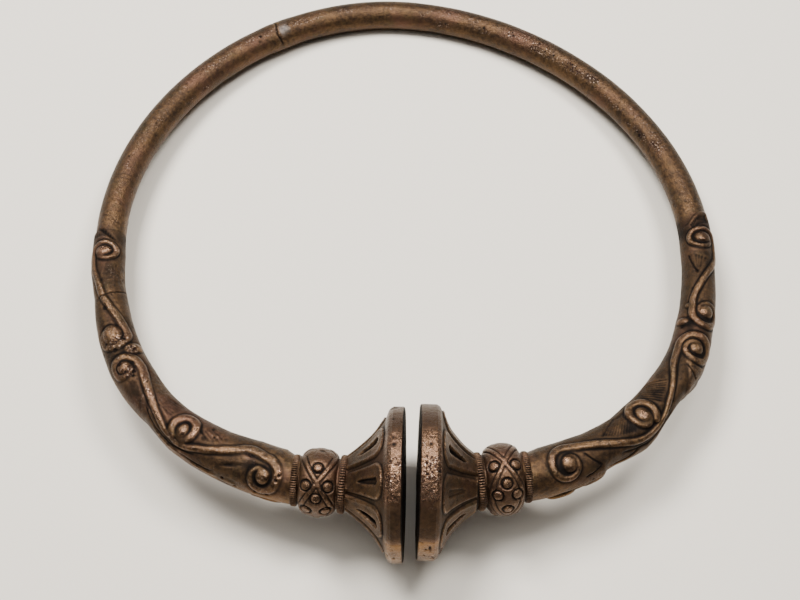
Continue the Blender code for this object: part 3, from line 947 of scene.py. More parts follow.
    def ground_darkening(self, canvas: Canvas, points: np.ndarray) -> np.ndarray:
        """How much darker the ground is made: strongest in the middle of the arm, with painted shade inside
        the coils and at the shade places, and nothing on raised forms, on the plain hoop or in the
        smooth zone beside the collar.

        Args:
            canvas: The carved canvas.
            points: Places of the uncarved skin.

        Returns:
            Darkness, shaped (rows, columns).
        """
        runs, shares = np.array(self.darkening_along + ((self.step_run + 1, 0.0),)).T
        low = 1 - ease((canvas.lift - self.step - 0.02) / 0.3)
        rings = tuple(coil.ring() for coil in self.coils)
        least, varied = self.darkening
        along = np.interp(canvas.runs, runs, shares)[:, None]
        ground = along * (least + varied * cloud(points, 3.0, Seed.DARKENING))
        return low * np.maximum(ground, canvas.patches(rings + self.shade, points))

    def golden(self, canvas: Canvas) -> np.ndarray:
        """A painted golden reflection of the paper: on the outer side, from the upper edge to well below."""
        turns = wrapped(canvas.turns)
        gold = ease((22.0 - turns) / 30.0) * ease((turns + 120.0) / 40.0)
        return 0.8 * (gold[None, :] * ease((self.step_run - canvas.runs[:, None]) / 4.0))

    def build(self) -> bpy.types.Object:
        """Carve the arm and make its piece."""
        canvas = self.canvas()
        rod = Rod(self.hoop, canvas, *self.hoop.axis(self.hand, canvas.runs, self.insets))
        bare = rod.skin(0.0)
        self.carve(canvas, bare)
        wear = Wear(
            bare,
            canvas.lift,
            canvas.patches(self.eaten, bare, self.pitted * (1 + 0.8 * cloud(bare, 3.0, Seed.CROWD))),
            darkening=self.ground_darkening(canvas, bare),
            rub=self.rub,
            # The painted golden reflection of the paper on the outer lower side.
            gold=self.golden(canvas),
            # Polish, with a painted sheen, at the bright places.
            polish=canvas.patches(self.bright, bare),
        )
        points = rod.skin(wear.height, self.sides(canvas))
        return Skin(self.name, on_table(points), wear.tones()).build()


@dataclass
class Wear:
    """What time did to a surface, and the shade, sheen and reflection painted on it: pits in its
    height, and tones that say where it is hollow, worn or pitted, for the finish to read.

    Attributes:
        carved: Height of the carving.
        pitting: How many pits there are, from 0 to 1, a number or a grid.
        passes: Reach of the blur that hollows are measured against.
        stain: Patches of another colour, from 0 to 1, or nothing.
        darkening: How much darker the colour is made, from 0 to 1, partly painted shade.
        small: Lattice, greatest radius and share of the cells with a pit, of the small pits.
    """

    places: np.ndarray
    carved: np.ndarray
    pitting: Grid = 0.35
    passes: int = 11
    stain: Grid = 0.0
    darkening: Grid = 0.0
    polish: Grid = 0.0
    gold: Grid = 0.0
    rub: float = 1.0
    small: Triple = (0.85, 0.36, 0.5)
    large: Triple = (2.2, 0.8, 0.22)
    deep: float = 0.17
    height: np.ndarray = field(init=False)
    pit: np.ndarray = field(init=False)
    crowd: np.ndarray = field(init=False)

    def __post_init__(self) -> None:
        """Sink the pits: small ones where a cloud is thick, and a few larger ones."""
        thick = ease(cloud(self.places, 7.0, Seed.THICK, 3) * 2.0 + 0.1)
        thick = np.maximum(thick, ease((self.pitting - 0.5) * 2.5))
        self.crowd = (0.6 + 0.4 * thick) * self.pitting
        small = pocks(self.places, *self.small, Seed.SMALL_PITS) * thick
        large = pocks(self.places, *self.large, Seed.LARGE_PITS)
        self.pit = np.clip(np.clip(small * 0.8 + large, 0.0, 1.0) * self.pitting, 0.0, 1.2)
        self.height = self.carved - self.deep * self.pit

    def tones(self) -> dict[str, np.ndarray]:
        """Hollow and worn compare the height with its blur: below it is hollow, above it is worn. The
        hollow tone darkens recesses towards black, for their dark patina and as painted shade.

        Returns:
            Values for the finish, by attribute name.
        """
        near = self.height - soften(self.height, self.passes)
        broad = self.height - soften(self.height, self.passes * 14)
        hollow = np.clip(-near * 5.6 - 0.1, 0.0, 1.0) + np.clip(-broad, 0.0, 0.35)
        worn = self.rub * (np.clip(near * 3.6, 0.0, 0.6) + np.clip(broad * 1.2, 0.0, 0.6))
        whole = np.zeros(self.height.shape)
        return {
            # The darkening, partly painted shade, joins the hollow tone.
            "hollow": np.clip(hollow + self.darkening * (1 - np.clip(worn, 0.0, 1.0)), 0.0, 1.0),
            "worn": np.clip(worn, 0.0, 1.0),
            "pit": self.pit,
            "crowd": np.clip(self.crowd, 0.0, 1.0),
            "polish": np.clip(self.polish + whole, 0.0, 1.0),
            "gold": np.clip(self.gold + whole, 0.0, 1.0),
            "stain": self.stain + whole,
        }


@dataclass
class PlainHoop:
    """The plain rod round the back, from one arm to the other, counted from the right buffer.

    A side is (turn, spread), the ridge is the pitted top, where the highlight falls and a painted
    sheen is added, the repair is counted from the left buffer, and the rust beside it is (turn,
    reach along, reach round, strength).
    """

    hoop: Hoop
    right_end: float
    left_end: float
    row_count: int = 760
    columns: int = 84
    low: float = 0.04
    shoulder: float = 0.35
    shoulder_end: float = 140.0
    shoulder_fade: float = 26.0
    inner_side: Pair = (170.0, 50.0)
    ridge: Pair = (97.0, 20.0)
    repair: float = 180.0
    rust: Row = (62.0, 1.8, 1.6, 1.0)
    eaten: Places = (
        (186.0, 135.0, 5.0, 1.0, 0.8), (179.0, 111.0, 3.5, 1.3, 0.7), (170.0, 120.0, 5.5, 1.5, 0.9),
        (160.5, 118.0, 5.0, 1.6, 1.0), (155.0, 111.0, 3.5, 1.6, 1.0), (147.0, 135.0, 5.0, 1.3, 0.8),
        (139.5, 148.0, 1.0, 0.6, 1.3), (134.5, 139.0, 3.5, 1.3, 1.0), (130.0, 115.0, 4.0, 1.5, 0.9),
        (122.0, 100.0, 3.0, 1.5, 0.6), (197.0, 153.0, 5.0, 0.9, 0.8), (203.0, 118.0, 6.0, 1.2, 0.6),
        (211.0, 100.0, 5.0, 1.2, 0.6), (222.0, 96.0, 8.0, 0.8, 0.7), (232.0, 109.0, 6.0, 0.8, 0.7),
        (256.0, 103.0, 2.5, 0.6, 0.9), (265.0, 160.0, 4.0, 0.8, 0.9), (271.0, 155.0, 4.0, 0.8, 0.8),
        (274.0, 95.0, 4.0, 1.4, 0.6), (281.0, 112.0, 5.0, 1.4, 0.8), (288.0, 95.0, 5.0, 1.6, 0.6),
        (300.0, 150.0, 8.0, 0.9, 0.6),
    )

    def side(self, turns: np.ndarray, place: Pair) -> np.ndarray:
        """A bell curve round a place's turn, with the place's spread."""
        turn, spread = place
        return hump(wrapped(turns - turn), spread)[None, :]

    def build(self) -> bpy.types.Object:
        """Make the rod: a circle of the rod's radius carried along the hoop's line, uneven as cast
        metal is, with denser pits on its right shoulder and a soldered repair at the back left.

        Returns:
            The piece.
        """
        whole = self.hoop.length - self.hoop.gap
        runs = np.linspace(self.right_end, whole - self.left_end, self.row_count)
        turns = np.linspace(0.0, 360.0, self.columns, endpoint=False)
        canvas = Canvas(runs, turns, np.full(len(runs), self.hoop.diameter / 2))
        rod = Rod(self.hoop, canvas, *self.hoop.axis(Hand.RIGHT, runs, (0.0, 0.0)))
        bare = rod.skin(0.0)
        canvas.lift += cast_skin(bare) - self.low
        shoulder = self.shoulder * ease((self.shoulder_end - runs) / self.shoulder_fade)
        canvas.lift += shoulder[:, None] * self.side(turns, self.inner_side)
        mend = whole - self.repair
        stain = self.solder(canvas, mend)
        # The ridge runs along the top, where the highlight falls: pits crowd there and it gets polish with a
        # painted sheen.
        ridge = self.side(turns, self.ridge) * np.clip(0.6 + 0.8 * cloud(bare, 5.0, Seed.RIDGE), 0.0, 1.0)
        crowd = canvas.patches(self.eaten, bare, 0.16 + 0.55 * ridge)
        darkening = 0.2 + 0.3 * np.clip(crowd - 0.3, 0.0, 1.0)
        rust = canvas.patches(((mend, *self.rust),), bare)
        wear = Wear(bare, canvas.lift, crowd, 8, stain, darkening, polish=0.3 * ridge, gold=rust)
        return Skin("plain_hoop", on_table(rod.skin(wear.height)), wear.tones()).build()

    def solder(self, canvas: Canvas, run: float) -> np.ndarray:
        """The repair: a low collar of solder, a crack across it, and a patch of other colour.

        Args:
            canvas: The canvas to work on.
            run: Run of the repair.

        Returns:
            How strongly the solder's colour shows, shaped (rows, columns).
        """
        middle, flat = canvas.runs[:, None] - run, 0 * canvas.lift
        places = np.stack([middle + flat, canvas.offset(slice(None), 90.0), flat], axis=-1)
        ragged = 1.2 * cloud(places, 2.5, Seed.SOLDER)
        canvas.lift += 0.12 * ease(1.5 - np.abs(middle + ragged) / 3.0)
        crack = np.array([(run + 1.0, 20.0), (run + 0.4, 70.0), (run + 1.4, 120.0), (run + 0.8, 170.0)])
        canvas.groove(crack, 0.4, 0.3)
        along = ease(1.6 - np.abs(middle + 0.6 + ragged) / 0.9)
        return np.clip(0.35 * along * hump(canvas.offset(slice(None), 108.0) + ragged, 1.3), 0.0, 1.0)


# The terminals


def along_profile(corners: list[Corner]) -> tuple[np.ndarray, np.ndarray]:
    """Rows along a profile of straight stretches.

    Args:
        corners: (radius, distance, rows up to this corner) in order.

    Returns:
        Radius and distance of each row.
    """
    radius, distance = [corners[0][0]], [corners[0][1]]
    for (r0, d0, _), (r1, d1, rows) in zip(corners[:-1], corners[1:]):
        share = np.arange(1, rows + 1) / rows
        radius.extend(r0 + (r1 - r0) * share)
        distance.extend(d0 + (d1 - d0) * share)
    return np.array(radius), np.array(distance)


def quarter(radius: float, distance: float, round_by: float, start: float, rows: int) -> list[Corner]:
    """Corners of a quarter circle about a middle, from a start angle in degrees on."""
    angles = np.radians(start + 90.0 * np.arange(1, rows + 1) / rows)
    return [(radius + round_by * math.cos(a), distance + round_by * math.sin(a), 1) for a in angles]


def off_profile(radius: np.ndarray, distance: np.ndarray) -> tuple[np.ndarray, np.ndarray]:
    """The direction off a profile, along radius and distance: its tangent turned by a right angle."""
    along_r, along_d = np.gradient(radius), np.gradient(distance)
    size = np.hypot(along_r, along_d) + 1e-9
    return along_d / size, -along_r / size


def squared(z_axis: np.ndarray, x_axis: np.ndarray) -> np.ndarray:
    """Three directions at right angles, as columns, the third along the first argument."""
    y_axis = unit(np.cross(z_axis, x_axis))
    return np.stack([unit(np.cross(y_axis, z_axis)), y_axis, z_axis], axis=-1)


@dataclass
class Turned:
    """A profile turned round an axis, by radius and distance behind the buffer's face of each row and
    the angle of each column. The axis leaves the face at the origin, along the third of the axes,
    which are the columns of a matrix."""

    origin: np.ndarray
    axes: np.ndarray
    radius: np.ndarray
    distance: np.ndarray
    angle: np.ndarray

    def places(self, height: Grid) -> np.ndarray:
        """Places at a height off the profile: radius times the angle's cosine and sine on the first
        two directions, and the distance on the third.

        Args:
            height: Heights off the profile, to the right of its way from row to row.

        Returns:
            Places, shaped (rows, columns, 3).
        """
        off_radius, off_distance = off_profile(self.radius, self.distance)
        angle = self.angle[None, :] + 0 * self.radius[:, None]
        radius = self.radius[:, None] + height * off_radius[:, None] + 0 * angle
        distance = self.distance[:, None] + height * off_distance[:, None] + 0 * angle
        local = np.stack([radius * np.cos(angle), radius * np.sin(angle), distance], axis=-1)
        return self.origin + local @ self.axes.T


@dataclass
class Terminal:
    """What a buffer and a knob share: their hand, the insets of their axis at the face and at the
    knob's far end, and the degrees by which the buffer's face looks up."""

    hoop: Hoop
    hand: Hand
    insets: Pair
    face_up: float

    @property
    def name(self) -> str:
        """The piece's name."""
        return f"{self.hand.name.lower()}_{type(self).__name__.lower()}"

    def axis_at(self, run: float) -> tuple[np.ndarray, np.ndarray]:
        """The axis in the hoop's plane at one run, and the outward direction."""
        centre, outward = self.hoop.axis(self.hand, np.array([run]), self.insets)
        return centre[0], outward[0]

    def piece(self, form: Turned, wear: Wear, side: float, start: float) -> bpy.types.Object:
        """Lay the worn relief on a form, less and less towards the axis.

        Args:
            form: The form.
            wear: The relief.
            side: 1 where the relief stands to the right of the profile's way, -1 where to the left.
            start: Radius below which there is no relief, over the 3 mm in which it rises.

        Returns:
            The piece.
        """
        fade = np.clip(form.radius / 3.0 - start, 0.0, 1.0)[:, None]
        points = form.places(side * (wear.height * fade))
        return Skin(self.name, on_table(points), wear.tones()).build()


@dataclass
class Buffer(Terminal):
    """A buffer: its flat face, its broad rim, and its flare with eight slit petals.

    The bell is the flare's outline, as (distance behind the face, radius). A pair that names a
    place round the axis is (bearing, spread), a part of the way round is (middle, half width,
    fade), and a dent is (bearing, distance, half width round, half width back, depth). The slit
    starts and ends at distances along the flare from the rim, and the faint one is worn shallow.
    On the rim, the paper reflection part gets a painted golden reflection of the paper, the dark
    reflection part a painted dark reflection band, and the dark parts painted shade at the top and
    back; the face, deep in the gap between the buffers, gets painted shade too.
    """

    rim_width: float = 4.3
    rim_round: float = 0.9
    edge_round: float = 0.5
    slack: float = 0.04
    bell: Line = ((4.3, 14.9), (11.9, 5.3))
    bell_rows: int = 80
    length: float = 11.9
    petals: int = 8
    petal_turn: float = 22.5
    petal_proud: float = 0.5
    petal_gap: float = 0.5
    petal_margin: float = 0.9
    petal_round: float = 3.2
    border: float = 0.55
    slit: Pair = (2.6, 9.6)
    slit_half: float = 0.86
    slit_deep: float = 0.8
    slit_wide: Pair = (8.0, 26.0)
    faint: float = -60.0
    faint_share: float = 0.8
    dents: Places = ()
    pits_top: Pair = (82.0, 27.0)
    pits_front: Pair = (4.0, 20.0)
    paper_reflection_part: Triple = (-25.0, 51.0, 4.0)
    dark_reflection_part: Triple = (41.5, 21.0, 11.0)
    dark_parts: tuple[Triple, Triple] = ((180.0, 100.0, 14.0), (180.0, 72.0, 10.0))
    columns: int = 448

    def upward(self, angle: np.ndarray, bearing: float) -> np.ndarray:
        """Degrees from a bearing, which is 0 to the front and 90 up."""
        return wrapped(-self.hand.value * np.degrees(angle) - bearing)

    def about(self, angle: np.ndarray, place: Pair) -> np.ndarray:
        """A bell curve about a place's bearing, with the place's spread."""
        bearing, spread = place
        return hump(self.upward(angle, bearing), spread)[None, :]

    def within(self, angle: np.ndarray, part: Triple) -> np.ndarray:
        """1 on a part of the bearings, by its middle, half width and fade, and 0 away from it."""
        middle, half, fade = part
        return ease((half - np.abs(self.upward(angle, middle))) / fade)[None, :]

    def profile(self) -> tuple[np.ndarray, np.ndarray]:
        """Half outline from the middle of the face, over the rim and down the flare to the neck.

        Returns:
            Radius and distance of each row.
        """
        radius, edge = self.hoop.buffer_diameter / 2 - self.slack, self.edge_round
        rim_end = self.bell[0][0] - self.rim_round
        corners = [(0.3, 0.0, 1), (radius - edge, 0.0, 14)]
        corners += quarter(radius - edge, edge, edge, -90.0, 5)
        corners.append((radius, rim_end, 16))
        r, d = along_profile(corners)
        curve = smooth_line(((rim_end, radius),) + self.bell, 24)[1:]
        steps = np.concatenate([[0.0], np.cumsum(np.hypot(*np.diff(curve, axis=0).T))])
        even = np.linspace(0.0, steps[-1], self.bell_rows)
        down, flare = (np.interp(even, steps, curve[:, k]) for k in (0, 1))
        tail = np.arange(1, 4) / 3
        r = np.concatenate([r, flare, np.full(len(tail), flare[-1])])
        return r, np.concatenate([d, down, down[-1] + 0.7 * tail])

    def petal_height(self, radius: np.ndarray, distance: np.ndarray, angle: np.ndarray) -> np.ndarray:
        """Height of the petals over the flare.

        Each petal is a flat-topped form with round sides: its height is the proud height times the
        square root of 1 minus a power of its share of the half width, which closes as a quarter
        ellipse near the rim. A thin border runs inside its edge and a slit down its middle.

        Args:
            radius: Radius of each row.
            distance: Distance behind the face of each row.
            angle: Bearing of each column.

        Returns:
            Heights, shaped (rows, columns).
        """
        steps = np.concatenate([[0.0], np.cumsum(np.hypot(np.diff(radius), np.diff(distance)))])
        first = int(np.argmax(distance >= self.rim_width))
        walk = steps - steps[first]
        slant = float(np.interp(self.length, distance[first:], walk[first:]))
        sector = math.tau / self.petals
        turned = angle + self.hand.value * math.radians(self.petal_turn)
        across = np.abs((turned + sector / 2) % sector - sector / 2)[None, :] * radius[:, None]
        gap = self.petal_gap * np.clip(radius / 12.0, 0.4, 1.0)[:, None]
        full = sector / 2 * radius[:, None] * 0.97 - gap
        inward = np.clip((walk - self.petal_margin) / self.petal_round, 0.0, 1.0)[:, None]
        half = full * np.sqrt(np.clip(1 - np.square(1 - inward), 0.0, 1.0)) + 1e-6
        height = self.petal_proud * np.sqrt(1 - np.clip(across / half, 0.0, 1.0) ** 3.5)
        inside = half - across - self.border
        height = height + 0.1 * hump(inside, 0.3) - 0.14 * ease(inside / 1.2)
        on = (walk > self.petal_margin)[:, None] & (walk < slant + 0.3)[:, None]
        return np.where(on, height - self.slit_cut(walk[:, None], across, angle), 0.0)

    def slit_cut(self, walk: np.ndarray, across: np.ndarray, angle: np.ndarray) -> np.ndarray:
        """Depth of the slits: narrower towards the neck, and closed at both ends.

        Args:
            walk: Way of each row along the flare from the rim, shaped (rows, 1).
            across: Distance of each place from a petal's middle.
            angle: Bearing of each column.

        Returns:
            Depths, shaped (rows, columns).
        """
        starts, ends = self.slit
        down = np.clip((walk - starts) / (ends - starts), 0.0, 1.0)
        half = self.slit_half * (1.0 - 0.65 * down) * ease((walk - starts) / 0.7) * ease((ends - walk) / 2.0)
        half = half * (1 + 0.45 * self.about(angle, self.slit_wide))
        kept = 1 - self.faint_share * self.about(angle, (self.faint, 15.0))
        return self.slit_deep * kept * ease((half - across) / 0.4 + 0.5) * ease(half / 0.1)

    def relief(self, form: Turned, bare: np.ndarray, on_flare: np.ndarray) -> np.ndarray:
        """Height of the petals, of the uneven casting and of the dents in the rim.

        Args:
            form: The turned form.
            bare: Its places.
            on_flare: Share of the flare in each row.

        Returns:
            Heights, shaped (rows, columns).
        """
        distance = form.distance
        lift = self.petal_height(form.radius, distance, form.angle)
        lift += -0.06 + (0.05 + 0.03 * on_flare) * cloud(bare, 5.0, Seed.BUFFER)
        lift -= 0.12 * hump(distance - self.rim_width - 0.5, 0.4)[:, None]
        lift = np.minimum(lift, np.where(distance < self.rim_width, 0.0, HIGH)[:, None])
        for bearing, back, half_round, half_back, depth in self.dents:
            near = np.radians(self.upward(form.angle, bearing))[None, :] * form.radius[:, None] / half_round
            away = np.hypot(near, ((distance - back) / half_back)[:, None])
            lift -= depth * hump(away, 1.0) * (1 - on_flare)
        return lift

    def build(self) -> bpy.types.Object:
        """Turn the profile round the buffer's axis and add the petals, dents and pits."""
        radius, distance = self.profile()
        angle = np.linspace(0.0, math.tau, self.columns, endpoint=False)
        drop = math.radians(self.face_up)
        away = np.array([self.hand.value * math.cos(drop), 0.0, -math.sin(drop)])
        axes = squared(away, np.array([0.0, -1.0, 0.0]))
        form = Turned(self.hoop.to_table(self.axis_at(0.0)[0]), axes, radius, distance, angle)
        bare = form.places(0.0)
        on_flare = ease((distance - self.rim_width) / 0.8)[:, None]
        on_rim = 1 - on_flare
        on_face = ease((0.35 - distance) / 0.3)[:, None]
        crowd = 0.7 * self.about(angle, self.pits_top) + 0.5 * self.about(angle, self.pits_front)
        # Bearings of the painted golden reflection low at the front, of the painted dark reflection band
        # above it, and of the painted shade towards the top and back.
        golden = self.within(angle, self.paper_reflection_part)
        band = self.within(angle, self.dark_reflection_part) * (1 - golden)
        dark, darker = (self.within(angle, part) for part in self.dark_parts)
        # The painted golden reflection lies on the rim alone.
        gold = golden * on_rim
        wear = Wear(
            bare,
            self.relief(form, bare, on_flare),
            (crowd * on_rim + 0.2) * (1 + 0.6 * cloud(bare, 2.4, Seed.CROWD)),
            12,
            # Painted shade on the face in the gap, a darker flare, and the painted dark band and top on the
            # rim.
            darkening=0.9 * on_face + 0.3 * on_flare + (0.2 * dark + 0.36 * darker + 0.48 * band) * on_rim,
            polish=(1 - 0.6 * band - 0.5 * gold) * (1 - on_flare - on_face),
            gold=gold,
        )
        return self.piece(form, wear, 1.0, 0.0)


@dataclass
class Knob(Terminal):
    """The knob between its two reeded collars, with crossing fillets and ringed bosses.

    The fillets cross on the upper side at the turn named crossing. The ring is the groove round a
    boss, as (radius, width, depth), and rubbed says how many degrees to each side of the inner
    turn the bosses are worn and what share of their height is left.
    """

    diameter: float = 15.4
    crossing: float = 95.0
    start: float = 11.9
    collar_width: float = 2.1
    collar_round: float = 0.62
    collar_deep: float = 0.9
    inner_collar: float = 12.4
    outer_collar: float = 11.0
    length: float = 7.8
    waist: float = 10.4
    barrel_rows: int = 58
    reeds: int = 66
    reed_deep: float = 0.3
    fillet_half: float = 0.36
    fillet_reach: float = 3.3
    fillet_proud: float = 0.06
    boss_proud: float = 0.14
    boss_radius: float = 0.92
    boss_along: float = 2.1
    boss_round: float = 24.0
    ring: Triple = (1.18, 0.21, 0.36)
    rubbed: Pair = (76.0, 0.15)
    columns: int = 462

    @property
    def middle(self) -> float:
        """Distance of the knob's middle behind the face."""
        return self.start + self.collar_width + self.length / 2

    def collar(self, first: float, last: float, radius: float) -> list[Corner]:
        """A collar's rounded outline between two distances, with the last below the first.

        Args:
            first: Distance of its farther side.
            last: Distance of its nearer side.
            radius: Its radius.

        Returns:
            The corners.
        """
        side, first, last = self.collar_round, first - 0.2, last + 0.2
        foot, over = radius - self.collar_deep, radius - side
        corners = [(foot, first + 0.15, 2), (foot, first, 2)]
        for a in np.radians([75, 50, 25, 0]):
            corners.append((over + side * math.cos(a), first - side + side * math.sin(a), 1))
        corners.append((radius, last + side, 7))
        for a in np.radians([25, 50, 75]):
            corners.append((over + side * math.cos(a), last + side - side * math.sin(a), 1))
        return corners + [(foot, last, 2), (foot, last - 0.15, 1)]

    def profile(self) -> tuple[np.ndarray, np.ndarray]:
        """Half outline from the hidden outer end over collar, barrel and collar to the neck.

        Returns:
            Radius and distance of each row.
        """
        inner = self.start + self.collar_width
        outer = inner + self.length
        corners = [(0.4, outer + self.collar_width, 1)]
        corners += self.collar(outer + self.collar_width, outer + 0.05, self.outer_collar / 2)
        r0, d0 = along_profile(corners)
        angles = np.linspace(0.02, math.pi - 0.02, self.barrel_rows)
        barrel = self.waist / 2 + (self.diameter - self.waist) / 2 * np.sin(angles)
        down = self.middle + self.length / 2 * np.cos(angles)
        tail = self.collar(inner - 0.05, self.start, self.inner_collar / 2)
        r1, d1 = along_profile(tail + [(0.4, self.start, 4)])
        return np.concatenate([r0, barrel, r1]), np.concatenate([d0, down, d1])

    def fillets(self, from_middle: np.ndarray, radius: np.ndarray, turn: np.ndarray) -> np.ndarray:
        """Height of the crossing fillets in their grooves.

        A fillet's middle line is reach times the sine of one and a half turns, one each way, and a
        place's distance from it is the difference along the axis over the root of 1 plus the line's
        slope squared.

        Args:
            from_middle: Distance of each row from the knob's middle, shaped (rows, 1).
            radius: Radius of each row, shaped (rows, 1).
            turn: Turn of each column, in radians.

        Returns:
            Heights, shaped (rows, columns).
        """
        phase = 1.5 * (turn - math.radians(self.crossing))[None, :]
        lift = np.zeros((len(radius), len(turn)))
        band = np.full(lift.shape, -HIGH)
        for sense in (-1.0, 1.0):
            slope = sense * self.fillet_reach * 1.5 * np.cos(phase) / radius
            off = np.abs(from_middle - sense * self.fillet_reach * np.sin(phase)) / np.sqrt(1 + slope**2)
            lift -= 0.3 * hump(off - self.fillet_half - 0.12, 0.19)
            arch = self.fillet_proud * (1 - np.power(np.minimum(off / self.fillet_half, 3.0), 4))
            band = np.maximum(band, arch)
        return np.maximum(lift, band)

    def boss_places(self) -> list[Pair]:
        """Place the bosses: a diamond of four in each oval, and one on each side of every crossing.

        Returns:
            (distance from the middle, turn) of each.
        """
        places = []
        for index in range(3):
            cross = math.radians(self.crossing + 120.0 * index)
            oval = cross + math.pi / 3
            for side in (-1, 1):
                places.append((side * self.boss_along, oval + math.radians(4.0)))
                places.append((0.0, oval + side * math.radians(self.boss_round)))
                places.append((side * self.boss_along * 1.14, cross - math.radians(5.0)))
        return places

    def reeded(self, distance: np.ndarray) -> np.ndarray:
        """1 on the two collars and 0 beside them, by the distance behind the face of each row."""
        far, foot, top, fade = self.middle + self.length / 2, 0.15, 0.35, 0.3
        outer = ease((distance - far - top) / fade) * ease((far + self.collar_width - foot - distance) / fade)
        inner = ease((distance - self.start - foot) / fade)
        inner = inner * ease((self.start + self.collar_width - top - distance) / fade)
        return np.maximum(outer, inner)[:, None]

    def relief(self, radius: np.ndarray, distance: np.ndarray, turn: np.ndarray) -> np.ndarray:
        """Height of the knob's ornament: fillets, bosses as domes in ring grooves, and reeds.

        Args:
            radius: Radius of each row.
            distance: Distance behind the face of each row.
            turn: Turn of each column, in radians.

        Returns:
            Heights, shaped (rows, columns).
        """
        from_middle, radius = (distance - self.middle)[:, None], radius[:, None]
        on_barrel = ease((self.length / 2 - np.abs(from_middle)) / 0.5)
        lift = self.fillets(from_middle, radius, turn)
        ring_radius, ring_width, ring_deep = self.ring
        hidden, share = self.rubbed
        for along, round_at in self.boss_places():
            near = (turn[None, :] - round_at + math.pi) % math.tau - math.pi
            away = np.hypot(from_middle - along, near * radius)
            kept = share if abs(math.degrees(round_at) % 360.0 - 180.0) < hidden else 1.0
            groove = ring_deep * kept * hump(away - ring_radius, ring_width)
            lift = lift * (1 - ease((1.35 - away) / 0.1)) - groove
            arch = kept * self.boss_proud * np.sqrt(np.clip(1 - (away / self.boss_radius) ** 3, 0.0, 1.0))
            lift += np.where(away < self.boss_radius, arch, 0.0)
        rounds = np.power(np.abs(np.sin(self.reeds / 2 * turn)), 0.9)[None, :]
        reeds = self.reed_deep * rounds - self.reed_deep
        return lift * on_barrel + reeds * self.reeded(distance)

    def build(self) -> bpy.types.Object:
        """Turn the profile round the terminal's axis and add the ornament."""
        radius, distance = self.profile()
        turn = np.linspace(0.0, math.tau, self.columns, endpoint=False)
        first, outward = self.axis_at(self.start)
        last = self.axis_at(self.hoop.terminal_length)[0]
        axes = squared(unit(self.hoop.turned(last - first)), self.hoop.turned(outward))
        origin = self.hoop.to_table(first) - axes[:, 2] * self.start
        form = Turned(origin, axes, radius, distance, -self.hand.value * turn)
        bare = form.places(0.0)
        lift = self.relief(radius, distance, turn) + 0.02 * cloud(bare, 2.5, Seed.KNOB) - 0.02
        crowd = 0.42 * (1 + 0.6 * cloud(bare, 2.4, Seed.CROWD))
        # The knob is a little darker all over, and painted shade darkens the reeds' valleys and the grooves.
        wear = Wear(bare, lift, crowd, 12, darkening=0.34 + 0.8 * ease((-0.13 - lift) / 0.14), polish=0.6)
        return self.piece(form, wear, -1.0, 0.5)


# Finishes


Value = bpy.types.NodeSocket | float


